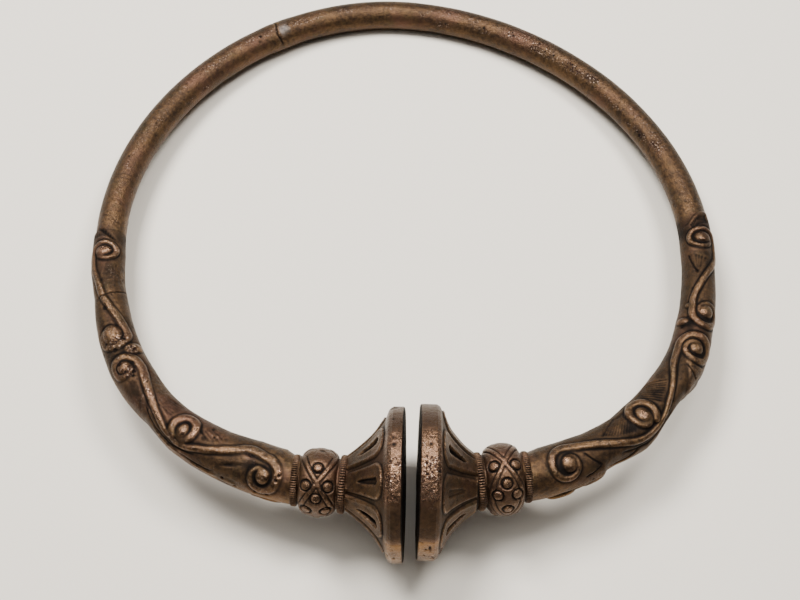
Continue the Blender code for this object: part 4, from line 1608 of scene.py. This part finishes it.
class Nodes:
    """A material's nodes, with short calls for the few kinds that the finishes use."""

    def __init__(self, name: str) -> None:
        """Start a material that has its shader alone."""
        self.made = bpy.data.materials.new(name)
        self.made.use_nodes = True
        self.nodes, self.links = self.made.node_tree.nodes, self.made.node_tree.links
        self.shader = self.nodes["Principled BSDF"]
        self.place = self.nodes.new("ShaderNodeTexCoord").outputs["Object"]

    def put(self, slot: bpy.types.NodeSocket, value: Value | Triple) -> None:
        """Link a socket to a slot, or set the slot to a number or a colour."""
        if isinstance(value, bpy.types.NodeSocket):
            self.links.new(value, slot)
        else:
            slot.default_value = (*value, 1.0) if isinstance(value, tuple) else value

    def add(self, kind: str, values: dict[str | int, Value | Triple]) -> bpy.types.Node:
        """Add a node of a kind, with what goes to its inputs, by name or number."""
        node = self.nodes.new(kind)
        for slot, value in values.items():
            self.put(node.inputs[slot], value)
        return node

    def shade(self, **values: Value | Triple) -> None:
        """Give the shader its values, by the inputs' names with underscores for spaces."""
        for name, value in values.items():
            self.put(self.shader.inputs[name.replace("_", " ")], value)

    def noise(self, scale: float, detail: float, rough: float = 0.55) -> bpy.types.NodeSocket:
        """A noise texture read at the piece's own place."""
        values = {"Scale": scale, "Detail": detail, "Roughness": rough, "Vector": self.place}
        return self.add("ShaderNodeTexNoise", values).outputs["Fac"]

    def cells(self, scale: float) -> bpy.types.NodeSocket:
        """Distance to the middle of the nearest of many scattered cells."""
        return self.add("ShaderNodeTexVoronoi", {"Scale": scale, "Vector": self.place}).outputs["Distance"]

    def tone(self, name: str) -> bpy.types.NodeSocket:
        """A value of the carved skin."""
        node = self.nodes.new("ShaderNodeAttribute")
        node.attribute_name = name
        return node.outputs["Fac"]

    def sum_of(self, operation: str, first: Value, second: Value, clamp: bool) -> bpy.types.NodeSocket:
        """One step of arithmetic, held between 0 and 1 where it is clamped."""
        node = self.add("ShaderNodeMath", {0: first, 1: second})
        node.operation, node.use_clamp = operation, clamp
        return node.outputs[0]

    def plus(self, first: Value, second: Value, clamp: bool = False) -> bpy.types.NodeSocket:
        """The sum of two values."""
        return self.sum_of("ADD", first, second, clamp)

    def less(self, first: Value, second: Value) -> bpy.types.NodeSocket:
        """The first value less the second."""
        return self.sum_of("SUBTRACT", first, second, False)

    def times(self, first: Value, second: Value, clamp: bool = False) -> bpy.types.NodeSocket:
        """The product of two values."""
        return self.sum_of("MULTIPLY", first, second, clamp)

    def greater(self, first: Value, second: Value) -> bpy.types.NodeSocket:
        """The greater of two values."""
        return self.sum_of("MAXIMUM", first, second, False)

    def over(self, value: Value, least: float, gain: float, clamp: bool = True) -> bpy.types.NodeSocket:
        """How far a value is over a least one, times a gain."""
        return self.times(self.less(value, least), gain, clamp)

    def blend(self, share: Value, first: Value | Triple, second: Value | Triple) -> bpy.types.NodeSocket:
        """Mix two colours by a share.

        Args:
            share: Share of the second colour.
            first: The first colour.
            second: The second colour.

        Returns:
            The mixed colour.
        """
        node = self.nodes.new("ShaderNodeMix")
        node.data_type = "RGBA"
        for slot, value in (("Factor", share), (6, first), (7, second)):
            self.put(node.inputs[slot], value)
        return node.outputs[2]

    def bump(self, height: bpy.types.NodeSocket, strength: float, distance: float) -> None:
        """Tilt the shading by a height, whose full step is a distance in millimetres."""
        values = {"Strength": strength, "Distance": distance * MM, "Height": height}
        self.shade(Normal=self.add("ShaderNodeBump", values).outputs["Normal"])


@dataclass(frozen=True)
class Patina:
    """Brown patinated bronze: copper where it is worn, almost black in pits and in hollows, whose
    darkening is dark patina and painted shade, with a painted sheen and a painted golden reflection
    where the tones ask. Three numbers of a cloud, a fleck or a speck are its scale, detail and
    roughness."""

    deep: Triple = (0.008, 0.006, 0.005)
    dark: Triple = (0.043, 0.027, 0.017)
    brown: Triple = (0.120, 0.068, 0.033)
    red: Triple = (0.110, 0.054, 0.036)
    olive: Triple = (0.070, 0.051, 0.024)
    copper: Triple = (0.30, 0.18, 0.10)
    sheen: Triple = (0.27, 0.150, 0.098)
    golden: Triple = (0.34, 0.172, 0.045)
    bare: Triple = (0.90, 0.66, 0.52)
    eaten: Triple = (0.030, 0.015, 0.012)
    solder: Triple = (0.30, 0.30, 0.30)
    clouds: Triple = (140.0, 6.0, 0.6)
    flecks: Triple = (1100.0, 5.0, 0.65)
    grain: Triple = (4200.0, 3.0, 0.6)
    reds: Triple = (75.0, 4.0, 0.6)
    olives: Triple = (310.0, 4.0, 0.6)
    bright: Triple = (2300.0, 2.0, 0.6)
    specks: Triple = (2100.0, 3.0, 0.7)
    cell: float = 2000.0
    pores: Pair = (430.0, 2.0)
    metallic: float = 0.95
    rough: float = 0.4
    relief: float = 0.1

    def material(self) -> bpy.types.Material:
        """Build the nodes: clouds of brown over the metal, the tones of the carved skin, then pits
        and bare specks where the metal is eaten.

        Returns:
            The material.
        """
        use = Nodes("patinated_bronze_skin")
        clouds, flecks, grain = (use.noise(*kind) for kind in (self.clouds, self.flecks, self.grain))
        names = ("hollow", "worn", "pit", "stain", "crowd", "polish", "gold")
        hollow, worn, pit, stain, crowd, polish, gold = (use.tone(name) for name in names)
        share = use.plus(use.over(clouds, 0.27, 1.9, False), use.over(flecks, 0.5, 3.2, False), True)
        colour = use.blend(share, self.dark, self.brown)
        colour = use.blend(use.over(use.noise(*self.reds), 0.5, 4.0), colour, self.red)
        colour = use.blend(use.over(use.noise(*self.olives), 0.54, 3.0), colour, self.olive)
        rubbed = use.times(worn, use.over(flecks, 0.3, 2.6))
        # Sheen colour where polished: real polish on the rims and knobs, and a painted sheen at the arms'
        # bright places and along the hoop's top.
        colour = use.blend(use.times(polish, 0.3), colour, self.sheen)
        # Golden: a painted reflection of the paper on the arms' and rims' lower sides, and the rust by the
        # hoop's repair.
        colour = use.blend(use.times(gold, use.over(clouds, 0.3, 1.6)), colour, self.golden)
        colour = use.blend(use.times(rubbed, 0.5), colour, self.copper)
        colour = use.blend(stain, colour, self.solder)
        bare = use.over(use.noise(*self.bright), 0.57, 9.0)
        bare = use.times(bare, use.greater(use.times(worn, 0.35), use.over(crowd, 0.22, 0.75)))
        colour = use.blend(bare, colour, self.bare)
        ragged = use.plus(use.cells(self.cell), use.over(grain, 0.5, 0.9, False))
        eaten = use.over(use.less(use.times(crowd, 0.46), ragged), 0.0, 9.0)
        eaten = use.greater(eaten, use.times(use.over(use.noise(*self.specks), 0.63, 12.0), 0.8))
        # Near black in pits and hollows: dark patina, and painted shade in the hollows.
        sunk = use.plus(hollow, use.times(pit, 1.3), True)
        sunk = use.plus(sunk, use.over(crowd, 0.4, 0.3), True)
        colour = use.blend(sunk, colour, self.deep)
        colour = use.blend(use.times(eaten, 0.95), colour, self.eaten)
        sunk = use.greater(sunk, eaten)
        rough = use.plus(self.rough, use.times(sunk, 0.35))
        rough = use.less(rough, use.times(use.greater(polish, bare), 0.22))
        rough = use.less(rough, use.times(worn, 0.1))
        use.shade(
            Base_Color=colour,
            Specular_IOR_Level=0.15,
            Metallic=use.less(self.metallic, use.times(sunk, 0.2)),
            Roughness=use.plus(rough, use.over(flecks, 0.5, 0.3, False), True),
        )
        rise = use.plus(use.times(flecks, 1.7), grain)
        rise = use.plus(rise, use.times(use.noise(*self.pores), 1.3))
        use.bump(use.less(rise, use.times(eaten, 0.8)), 1.0, self.relief)
        return use.made


@dataclass(frozen=True)
class Paper:
    """The pale paper that the torc lies on: its colour, and the scale and detail of its fibre."""

    colour: Triple = (0.80, 0.75, 0.66)
    rough: float = 0.9
    fibre: Pair = (700.0, 4.0)

    def material(self) -> bpy.types.Material:
        """A matt sheet with a faint fibre in its height."""
        use = Nodes("pale_paper")
        use.shade(Base_Color=self.colour, Roughness=self.rough, Specular_IOR_Level=0.2)
        use.bump(use.noise(*self.fibre), 0.06, 0.2)
        return use.made


# The studio


@dataclass(frozen=True)
class Lamp:
    """A square soft light: its name, its place and size in metres, its power in watts and its colour."""

    name: str
    place: Triple
    size: float
    power: float
    colour: Triple = (1.0, 0.975, 0.95)


@dataclass
class Studio:
    """The camera, the pale table, the soft lights and the sky, which falls off between two cosines
    of the angle from its brightest direction. The camera's aim is counted from the hoop's middle."""

    hoop: Hoop
    elevation: float = 65.0
    roll: float = 1.5
    distance: float = 338.4
    lens: float = 67.18
    sensor: float = 36.0
    aim: Triple = (3.5, -16.318, -0.16)
    table_half: float = 1500.0
    table_low: float = 0.02
    lamps: tuple[Lamp, ...] = (
        Lamp("left_lamp", (-0.17, 0.15, 0.5), 0.18, 4.6),
        Lamp("right_lamp", (0.18, 0.13, 0.5), 0.16, 2.6),
    )
    horizon: float = 0.03
    zenith: float = 2.3
    sky: Triple = (1.0, 0.985, 0.97)
    reach: Pair = (0.76, 0.97)
    brightest: Triple = (-0.05, 0.14, 1.0)

    def stand(self, made: bpy.types.Object, columns: tuple[np.ndarray, ...], place: Triple) -> None:
        """Stand a camera or a lamp at a place by its three directions, the third away from what it faces."""
        matrix = Matrix(np.stack(columns, axis=-1).tolist()).to_4x4()
        matrix.translation = place
        made.matrix_world = matrix

    def camera(self) -> None:
        """Stand the camera over the front of the torc, looking down at its elevation."""
        tilt, roll = math.radians(self.elevation), math.radians(self.roll)
        back = np.array([0.0, -math.cos(tilt), math.sin(tilt)])
        up = np.cross(back, RIGHTWARD)
        right = RIGHTWARD * math.cos(roll) + up * math.sin(roll)
        lens = bpy.data.cameras.new("camera")
        lens.lens, lens.sensor_width, lens.clip_start = self.lens, self.sensor, 0.01
        eye = placed("camera", lens)
        place = ((self.hoop.middle + np.array(self.aim) + back * self.distance) * MM).tolist()
        self.stand(eye, (right, -RIGHTWARD * math.sin(roll) + up * math.cos(roll), back), place)
        bpy.context.scene.camera = eye

    def table(self) -> None:
        """Lay the paper: one wide sheet just under the torc."""
        half, low = self.table_half * MM, -self.table_low * MM
        corners = [(-half, -half, low), (half, -half, low), (half, half, low), (-half, half, low)]
        mesh = bpy.data.meshes.new("table")
        mesh.from_pydata(corners, [], [(0, 1, 2, 3)])
        sheet = placed("table", mesh)
        mesh.materials.append(Paper().material())

    def light(self) -> None:
        """Two soft lights from above and behind, the left one stronger, that face the middle of the
        torc, and a sky that is bright about one direction, a little behind the upright, and dim
        towards the horizon: a smooth step of the angle's cosine."""
        for lamp in self.lamps:
            light = bpy.data.lights.new(lamp.name, "AREA")
            light.size, light.energy, light.color = lamp.size, lamp.power, lamp.colour
            away = unit(np.array(lamp.place))
            side = unit(np.cross(np.array([0.0, 1.0, 0.0]), away))
            self.stand(placed(lamp.name, light), (side, np.cross(away, side), away), lamp.place)
        world = bpy.data.worlds.new("studio")
        world.use_nodes = True
        nodes, links = world.node_tree.nodes, world.node_tree.links
        place = nodes.new("ShaderNodeTexCoord")
        near = nodes.new("ShaderNodeVectorMath")
        near.operation = "DOT_PRODUCT"
        near.inputs[1].default_value = unit(np.array(self.brightest)).tolist()
        ramp = nodes.new("ShaderNodeMapRange")
        ramp.interpolation_type = "SMOOTHSTEP"
        for slot, value in zip(list(ramp.inputs)[1:5], (*self.reach, self.horizon, self.zenith)):
            slot.default_value = value
        links.new(place.outputs["Generated"], near.inputs[0])
        links.new(near.outputs["Value"], ramp.inputs["Value"])
        sky = nodes["Background"]
        sky.inputs["Color"].default_value = (*self.sky, 1.0)
        links.new(ramp.outputs["Result"], sky.inputs["Strength"])
        bpy.context.scene.world = world


# The two arms' own values


RIGHT_TILT = 0.6
LEFT_TILT = 2.0


def right_buffer(hoop: Hoop, insets: Pair) -> Buffer:
    """The right buffer, with its own bell, slits and dents."""
    return Buffer(
        hoop,
        Hand.RIGHT,
        insets,
        RIGHT_TILT,
        bell=((4.5, 15.75), (5, 14.4), (5.6, 12.8), (6.6, 11), (7.8, 9.5), (9, 8.1), (10.2, 7), (11.9, 5.7)),
        petal_turn=16.0,
        slit=(3.4, 10.6),
        faint=61.0,
        dents=(
            (16.4, 2.6, 0.9, 0.3, 0.35), (15.0, 1.8, 0.35, 0.3, 0.25), (5.6, 1.45, 0.3, 0.3, 0.25),
            (0.0, 3.4, 0.4, 0.3, 0.25), (100.0, 2.2, 0.5, 0.4, 0.2),
        ),
    )


def left_buffer(hoop: Hoop, insets: Pair) -> Buffer:
    """The left buffer, with its own bell, slits and dents."""
    return Buffer(
        hoop,
        Hand.LEFT,
        insets,
        LEFT_TILT,
        rim_width=3.8,
        bell=(
            (3.3, 15.8), (3.9, 14.6), (4.5, 13.3), (5.4, 11.9), (6.4, 10.6), (7.7, 9.2), (9.2, 7.8),
            (10.6, 6.6), (11.9, 5.6),
        ),
        petal_turn=30.0,
        faint=66.0,
        faint_share=0.5,
        dents=(
            (5.0, 1.8, 0.5, 0.3, 0.25), (5.0, 3.3, 0.8, 0.25, 0.25), (150.0, 2.4, 0.8, 0.9, 0.5),
            (108.0, 2.0, 0.6, 0.5, 0.2),
        ),
    )


def right_arm(hoop: Hoop) -> Arm:
    """The right arm, with its own places for scrolls, fields, cuts and pits."""
    carving = Carving(
        grounds=(
            Ground(
                ((109, 36), (108.4, 74), (107.2, 99), (105.4, 120), (104.4, 108), (106.4, 86), (106.4, 48)),
                0.1,
                0.05,
            ),
            Ground(((98, 135), (96.6, 60), (93.2, 90), (91.2, 106)), 0.16, 0),
            Ground(((61.5, 104), (56.8, 70), (55.8, 92), (54, 150), (58.5, 168)), 0.1, 0),
            Ground(((69.4, 94), (66.4, 68), (63.2, 40), (62.2, 22), (66, 14), (69.5, 24), (69, 60)), -0.3, 0),
            Ground(
                ((51, 160), (48.4, 112), (47.6, 70), (43.8, 82), (40.4, 106), (43, 140), (47.5, 165)),
                0.12,
                0.04,
            ),
            Ground(((38.5, 100), (36, 76), (37, 50), (44, 44), (41, 80)), 0.06, 0),
            Ground(((54, 26), (46, 20), (41, 14), (40, 40), (44.5, 44), (50, 28)), 0.06, 0),
        ),
        hatches=(
            Hatch(
                ((108.6, 42), (108, 76), (105.6, 116)),
                ((106, 46), (105.4, 80), (104.4, 108)),
                12,
                0.3,
                0.24,
            ),
            Hatch(((97.6, 112), (97.2, 76)), ((93.6, 106), (93.8, 90)), 3, 0.4, 0.12),
            Hatch(((58.6, 166), (53.6, 152)), ((62.4, 108), (56.4, 84)), 9, 0.3, 0.24),
            Hatch(((40.2, 104), (47.4, 66)), ((46, 146), (52.4, 142)), 12, 0.3, 0.26),
            Hatch(((34.6, 34), (39.4, 14)), ((34.6, -4), (39, -14)), 7, 0.36, 0.14),
        ),
        ribs=(
            Cut(((69.4, 96), (66.6, 68), (63.2, 40), (62.4, 26)), 0.4, 0.2),
            Cut(((39.4, 12), (42.8, 2), (46.6, 16)), 0.5, 0.22),
        ),
        grooves=(
            Cut(((97.6, 134), (95.8, 126), (94, 114), (92.4, 99)), 0.5, 0.3),
            Cut(((67.8, 84), (66.8, 58), (66, 36)), 0.4, 0.2),
            Cut(((58, 48), (54.8, 31), (51, 21), (46.5, 27), (42.5, 44)), 0.6, 0.26),
            Cut(((35.2, 86), (36.4, 64), (38, 40)), 0.42, 0.26),
            Cut(((37.8, 40), (36, 30), (34, 26)), 0.42, 0.26),
            Cut(((46.5, 24), (43, 7), (40.6, 12)), 0.45, 0.22),
            Cut(((25.6, -24), (27.6, -15), (30.2, -9), (32.8, -3)), 0.6, 0.4),
        ),
        nubs=(
            (83.4, 129, 0.8, 0.9, 0.5), (78.9, 140, 1.1, 1.6, 0.7), (37.3, 38, 0.45, 0.45, 0.3),
            (29.2, -27, 3.2, 1.5, 0.9), (65.2, 8, 2.4, 1.3, 0.55), (80.8, 12, 3, 1.2, 0.18),
            (36, -21, 2.5, 1.5, 0.45),
        ),
        holes=((77.4, 136, 0.5, 0.35), (56.4, 52, 0.3, 0.2), (58.6, 60, 0.25, 0.2), (54.6, 41, 0.3, 0.2)),
    )
    return Arm(
        hoop,
        Hand.RIGHT,
        (0.85, -0.2),
        108,
        (
            (-90, 105), (0, 105.5), (20, 106.5), (34, 109.4), (58, 109.2), (74, 108.8), (99, 107.6),
            (120, 105.8), (150, 105), (270, 105),
        ),
        (
            Coil(101.5, 74, 3, (1.5, 2), -90, 1.1, (0.5, 1), 0.85, 2.4, 1.22),
            Coil(81.7, 66, 3.3, (1.7, 1.75), 90, 1.1, (0.5, 2), 0.95, 2.2, 1),
            Coil(72.3, 74, 3.75, (1.5, 1.6), 90, -1.4, (0.1, 0), 0.85, 1.7, 1.08),
            Coil(51.2, 96, 3.1, (1.7, 1.95), -50, 1.1, (0.1, -2), 0.85, 2.2, 1.2),
            Coil(31, 74, 3.6, (1.7, 1.9), 75, 1.1, (0.5, 0), 0.9, 1.6, 1.1),
        ),
        ((97.6, 22), (94.6, 46), (91.6, 76), (88.6, 98), (85.4, 114)),
        ((67, 119), (62.4, 94), (58, 70), (54.6, 50), (51, 41), (47, 47), (43, 70), (38, 96)),
        carving,
        # Polish with a painted sheen where the highlights fall.
        bright=(
            (31, 85, 0.7, 0.8, 1), (28.5, 90, 0.8, 1.6, 0.6), (47.8, 90, 0.9, 1.6, 0.6),
            (51.2, 90, 0.8, 0.8, 1), (81.5, 86, 0.8, 1, 1), (71.2, 97, 0.8, 1, 0.9), (101, 87, 0.5, 1.2, 1),
            (98.8, 87, 0.6, 2, 0.9),
        ),
        # Painted shade on the low ground at these places.
        shade=(
            (58.4, 104, 3.8, 2.8, 0.86), (62.6, 124, 3, 2.4, 0.78), (46.8, 76, 3.4, 3.2, 0.9),
            (48.4, 50, 1.8, 1.6, 0.85), (78, 118, 3, 2, 0.8), (37.2, 52, 2.4, 2.6, 0.8),
            (38.5, 84, 3, 1.2, 0.65),
        ),
        outer=(
            (24, 0), (27, 0.2), (32, 0.2), (38.2, 0), (39.6, -1.1), (42, -1.2), (45, -0.7), (49, -0.2),
            (52, -0.6), (55, -1.4), (59, -2.1), (62, -1.9), (63.2, -1.2), (66, -0.5), (69, 0), (120, 0),
        ),
        inner=(
            (24, 0), (27, 0.5), (34, 0.5), (38, 0.2), (46, 0.2), (51, 0.7), (62, 0.85), (66, 0.6), (72, 0.35),
            (80, 0.4), (84, 0.1), (96, 0), (100, 0.25), (108, 0.35), (120, 0.35),
        ),
    )


def left_arm(hoop: Hoop) -> Arm:
    """The left arm, with its own places for scrolls, fields, cuts and pits."""
    carving = Carving(
        grounds=(
            Ground(
                ((106, 20), (106.2, 68), (104.4, 105), (102.8, 134), (102.4, 112), (103.6, 84), (103.2, 48)),
                0.1,
                0.05,
            ),
            Ground(((96.2, 122), (95.6, 180), (91.6, 170), (89.4, 118)), 0.06, 0.12),
            Ground(((96.8, 110), (96.2, 60), (93.2, 62), (90.2, 84), (91.2, 104)), 0.08, 0),
            Ground(((67, 130), (62.4, 122), (58.6, 108), (57.4, 140), (63, 160)), 0.06, 0.14),
            Ground(((57.6, 100), (52.4, 78), (51.8, 120), (54.6, 140), (58, 130)), 0.08, 0.1),
            Ground(((45.6, 102), (43.2, 76), (38.6, 96), (38.4, 120), (43.6, 130)), 0.1, 0.04),
            Ground(((66, 62), (62, 52), (58, 40), (60, 70), (64, 90)), 0.12, 0.05),
        ),
        hatches=(
            Hatch(
                ((105.8, 30), (105.8, 68), (103.4, 120)),
                ((103.4, 36), (103.6, 76), (102.6, 112)),
                9,
                0.3,
                0.12,
            ),
            Hatch(((97, 96), (96.4, 136)), ((91.4, 72), (91, 108)), 5, 0.45, 0.12),
            Hatch(((56.6, 90), (56.4, 132)), ((52.2, 90), (51.6, 138)), 6, 0.36, 0.14),
            Hatch(((45.4, 100), (42.6, 124)), ((42.4, 84), (39.2, 112)), 4, 0.4, 0.16),
            Hatch(((38.4, 44), (35.8, 66)), ((34.8, 58), (33.2, 72)), 4, 0.36, 0.16),
        ),
        ribs=(
            Cut(((54, 30), (50, 16), (46, 22)), 0.5, 0.22),
            Cut(((43.4, 112), (41.6, 106), (40.6, 116)), 0.4, 0.16),
            Cut(((44.6, 9), (40.6, 8), (38.2, 12)), 0.5, 0.25),
        ),
        grooves=(
            Cut(((87.2, 60), (88, 94), (88.3, 122), (88.6, 144), (89.4, 178)), 0.3, 0.24),
            Cut(((58.6, 66), (55.4, 44), (52.2, 30), (47.8, 27), (43, 40)), 0.6, 0.26),
            Cut(((52.2, 30), (47.6, 20), (41.5, 16), (39, 22)), 0.4, 0.18),
            Cut(((31, -24), (28.4, -17), (25.6, -12)), 0.55, 0.4),
        ),
        nubs=(
            (72.3, 132, 1.6, 2.3, 0.75), (35.6, 8, 2.4, 0.9, 0.4), (27.2, -28, 2.8, 1, 0.5),
        ),
        holes=(
            (72.6, 114, 0.28, 0.25), (72, 128, 0.42, 0.45), (75.2, 113, 0.34, 0.4), (66.4, 96, 0.36, 0.4),
            (65.6, 88, 0.3, 0.35), (69.4, 70, 0.4, 0.35), (73.4, 76, 0.45, 0.35), (71.6, 120, 0.28, 0.25),
            (79, 104, 0.25, 0.2), (77, 96, 0.25, 0.2), (41.6, 104, 0.3, 0.25), (36.9, 14, 0.28, 0.45),
            (34.2, 3, 0.28, 0.45), (25.6, 70, 0.3, 0.4), (26, 58, 0.3, 0.35), (27.6, 14, 0.34, 0.35),
            (30, 10, 0.3, 0.3),
        ),
    )
    return Arm(
        hoop,
        Hand.LEFT,
        (0.15, -0.75),
        104.5,
        (
            (-90, 101.5), (0, 102.5), (14, 105.2), (40, 105.8), (60, 105.2), (90, 103.6), (120, 102.4),
            (160, 101.5), (270, 101.5),
        ),
        (
            Coil(99.3, 85, 2.75, (1.45, 2), -90, 1, (0.3, -5), 0.75, 2.4, 1.15),
            Coil(76.8, 80, 3.1, (2.6, 2.3), 90, 0.8, (0.4, 2), 0.85, 1.5, 1.15),
            Coil(68.2, 76, 3.1, (1.5, 1.6), 90, -1, (0.3, 0), 0.85, 1.6, 1.1),
            Coil(48, 82, 2.9, (1.35, 1.7), -50, 1.1, (0.2, -4), 0.85, 2.2, 1.15),
            Coil(29.3, 61, 3.65, (1.55, 1.75), 90, 1, (-0.4, -1), 0.9, 2.4, 1.1),
        ),
        ((95.2, 42), (92, 60), (88, 76), (84.6, 96), (81.2, 116)),
        (
            (66.2, 121), (62.4, 106), (58.6, 88), (54.4, 66), (51, 48), (47, 43), (42.2, 64), (37, 92),
            (33, 114),
        ),
        carving,
        strand_half=1.02,
        strand_proud=0.64,
        moat=0.14,
        worn=0.15,
        rubbed=2,
        darkening=(0.45, 0.4),
        pitted=0.32,
        rub=0.95,
        eaten=(
            (26.4, 66, 0.7, 1.5, 1), (27.4, 30, 0.8, 1.2, 0.9), (28.6, 12, 2.4, 0.8, 1.1),
            (32.8, 98, 1.4, 0.6, 1.2), (31, 84, 1, 0.9, 1), (46.2, 84, 0.7, 1.2, 0.9), (49.5, 46, 2, 0.6, 1),
            (55.2, 67, 2.2, 0.5, 1.1), (60, 95, 2.6, 0.5, 1.1), (63.6, 108, 1.4, 0.5, 1.1),
            (67, 86, 1.8, 2, 1.3), (68.8, 70, 2, 2, 0.9), (71.8, 122, 1.8, 1.8, 1.2),
            (75.4, 98, 1.6, 2.2, 1.2), (74.4, 66, 0.8, 1.6, 1), (79.6, 60, 1, 1.6, 0.7),
            (95, 104, 2.4, 1.4, 0.8), (92, 40, 1.6, 1.6, 0.8),
        ),
        # Polish with a painted sheen where the highlights fall.
        bright=(
            (27.4, 62, 0.7, 0.8, 1), (25.6, 74, 0.6, 1.2, 1), (33, 92, 1.2, 0.5, 1), (45.9, 88, 0.7, 1.4, 1),
            (47.8, 75, 0.6, 0.8, 1), (55.2, 67, 1.8, 0.5, 0.9), (59.5, 94, 1.8, 0.5, 0.9),
            (63.2, 106, 1.2, 0.6, 0.9), (66.8, 93, 0.7, 0.8, 1), (75.2, 111, 0.5, 0.8, 1),
            (76, 95, 0.5, 0.9, 0.9), (71.8, 116, 0.5, 0.7, 0.9), (100.5, 86, 0.7, 0.9, 1),
            (99.8, 110, 0.5, 1, 1),
        ),
        # Painted shade on the low ground at these places.
        shade=(
            (31.6, 72, 2.2, 2.2, 0.85), (36, 64, 3.6, 2.4, 0.6), (46, 104, 2.6, 1.8, 0.7),
            (63, 66, 4, 3, 0.62), (71.6, 84, 2, 3, 0.85), (104.6, 70, 1.6, 3, 0.8),
        ),
        outer=(
            (24, 0), (44, 0), (50, -0.2), (54, -0.8), (57, -1.1), (60, -0.8), (64, -0.5), (70, -0.3),
            (74, -0.4), (78, -0.4), (84, -0.7), (88, -1.1), (92, -0.7), (96, -0.1), (120, 0),
        ),
        inner=(
            (24, 0.3), (26, 1.1), (32, 1.2), (36, 0.8), (40, 0.4), (46, 0.25), (52, 0), (58, 0.05), (62, 0.3),
            (66, 0.6), (86, 0.6), (92, 0.3), (96, 0.4), (100, 0.5), (105, 0.1), (120, 0),
        ),
    )


def main() -> None:
    """Build every piece in order, dress it, and set up the studio."""
    logging.basicConfig(level=logging.INFO, format="%(name)s: %(message)s")
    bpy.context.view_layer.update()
    hoop = Hoop()
    right, left = right_arm(hoop), left_arm(hoop)
    pieces = [
        right.build(),
        left.build(),
        PlainHoop(hoop, right.end, left.end).build(),
        right_buffer(hoop, right.insets).build(),
        left_buffer(hoop, left.insets).build(),
        Knob(hoop, Hand.RIGHT, right.insets, RIGHT_TILT, diameter=15.4, crossing=95.0).build(),
        Knob(hoop, Hand.LEFT, left.insets, LEFT_TILT, diameter=14.5, crossing=64.0, boss_round=33.0).build(),
    ]
    bronze = Patina().material()
    for piece in pieces:
        piece.data.materials.append(bronze)
        settle(piece)
    studio = Studio(hoop)
    studio.camera()
    studio.table()
    studio.light()


if __name__ == "__main__":
    main()
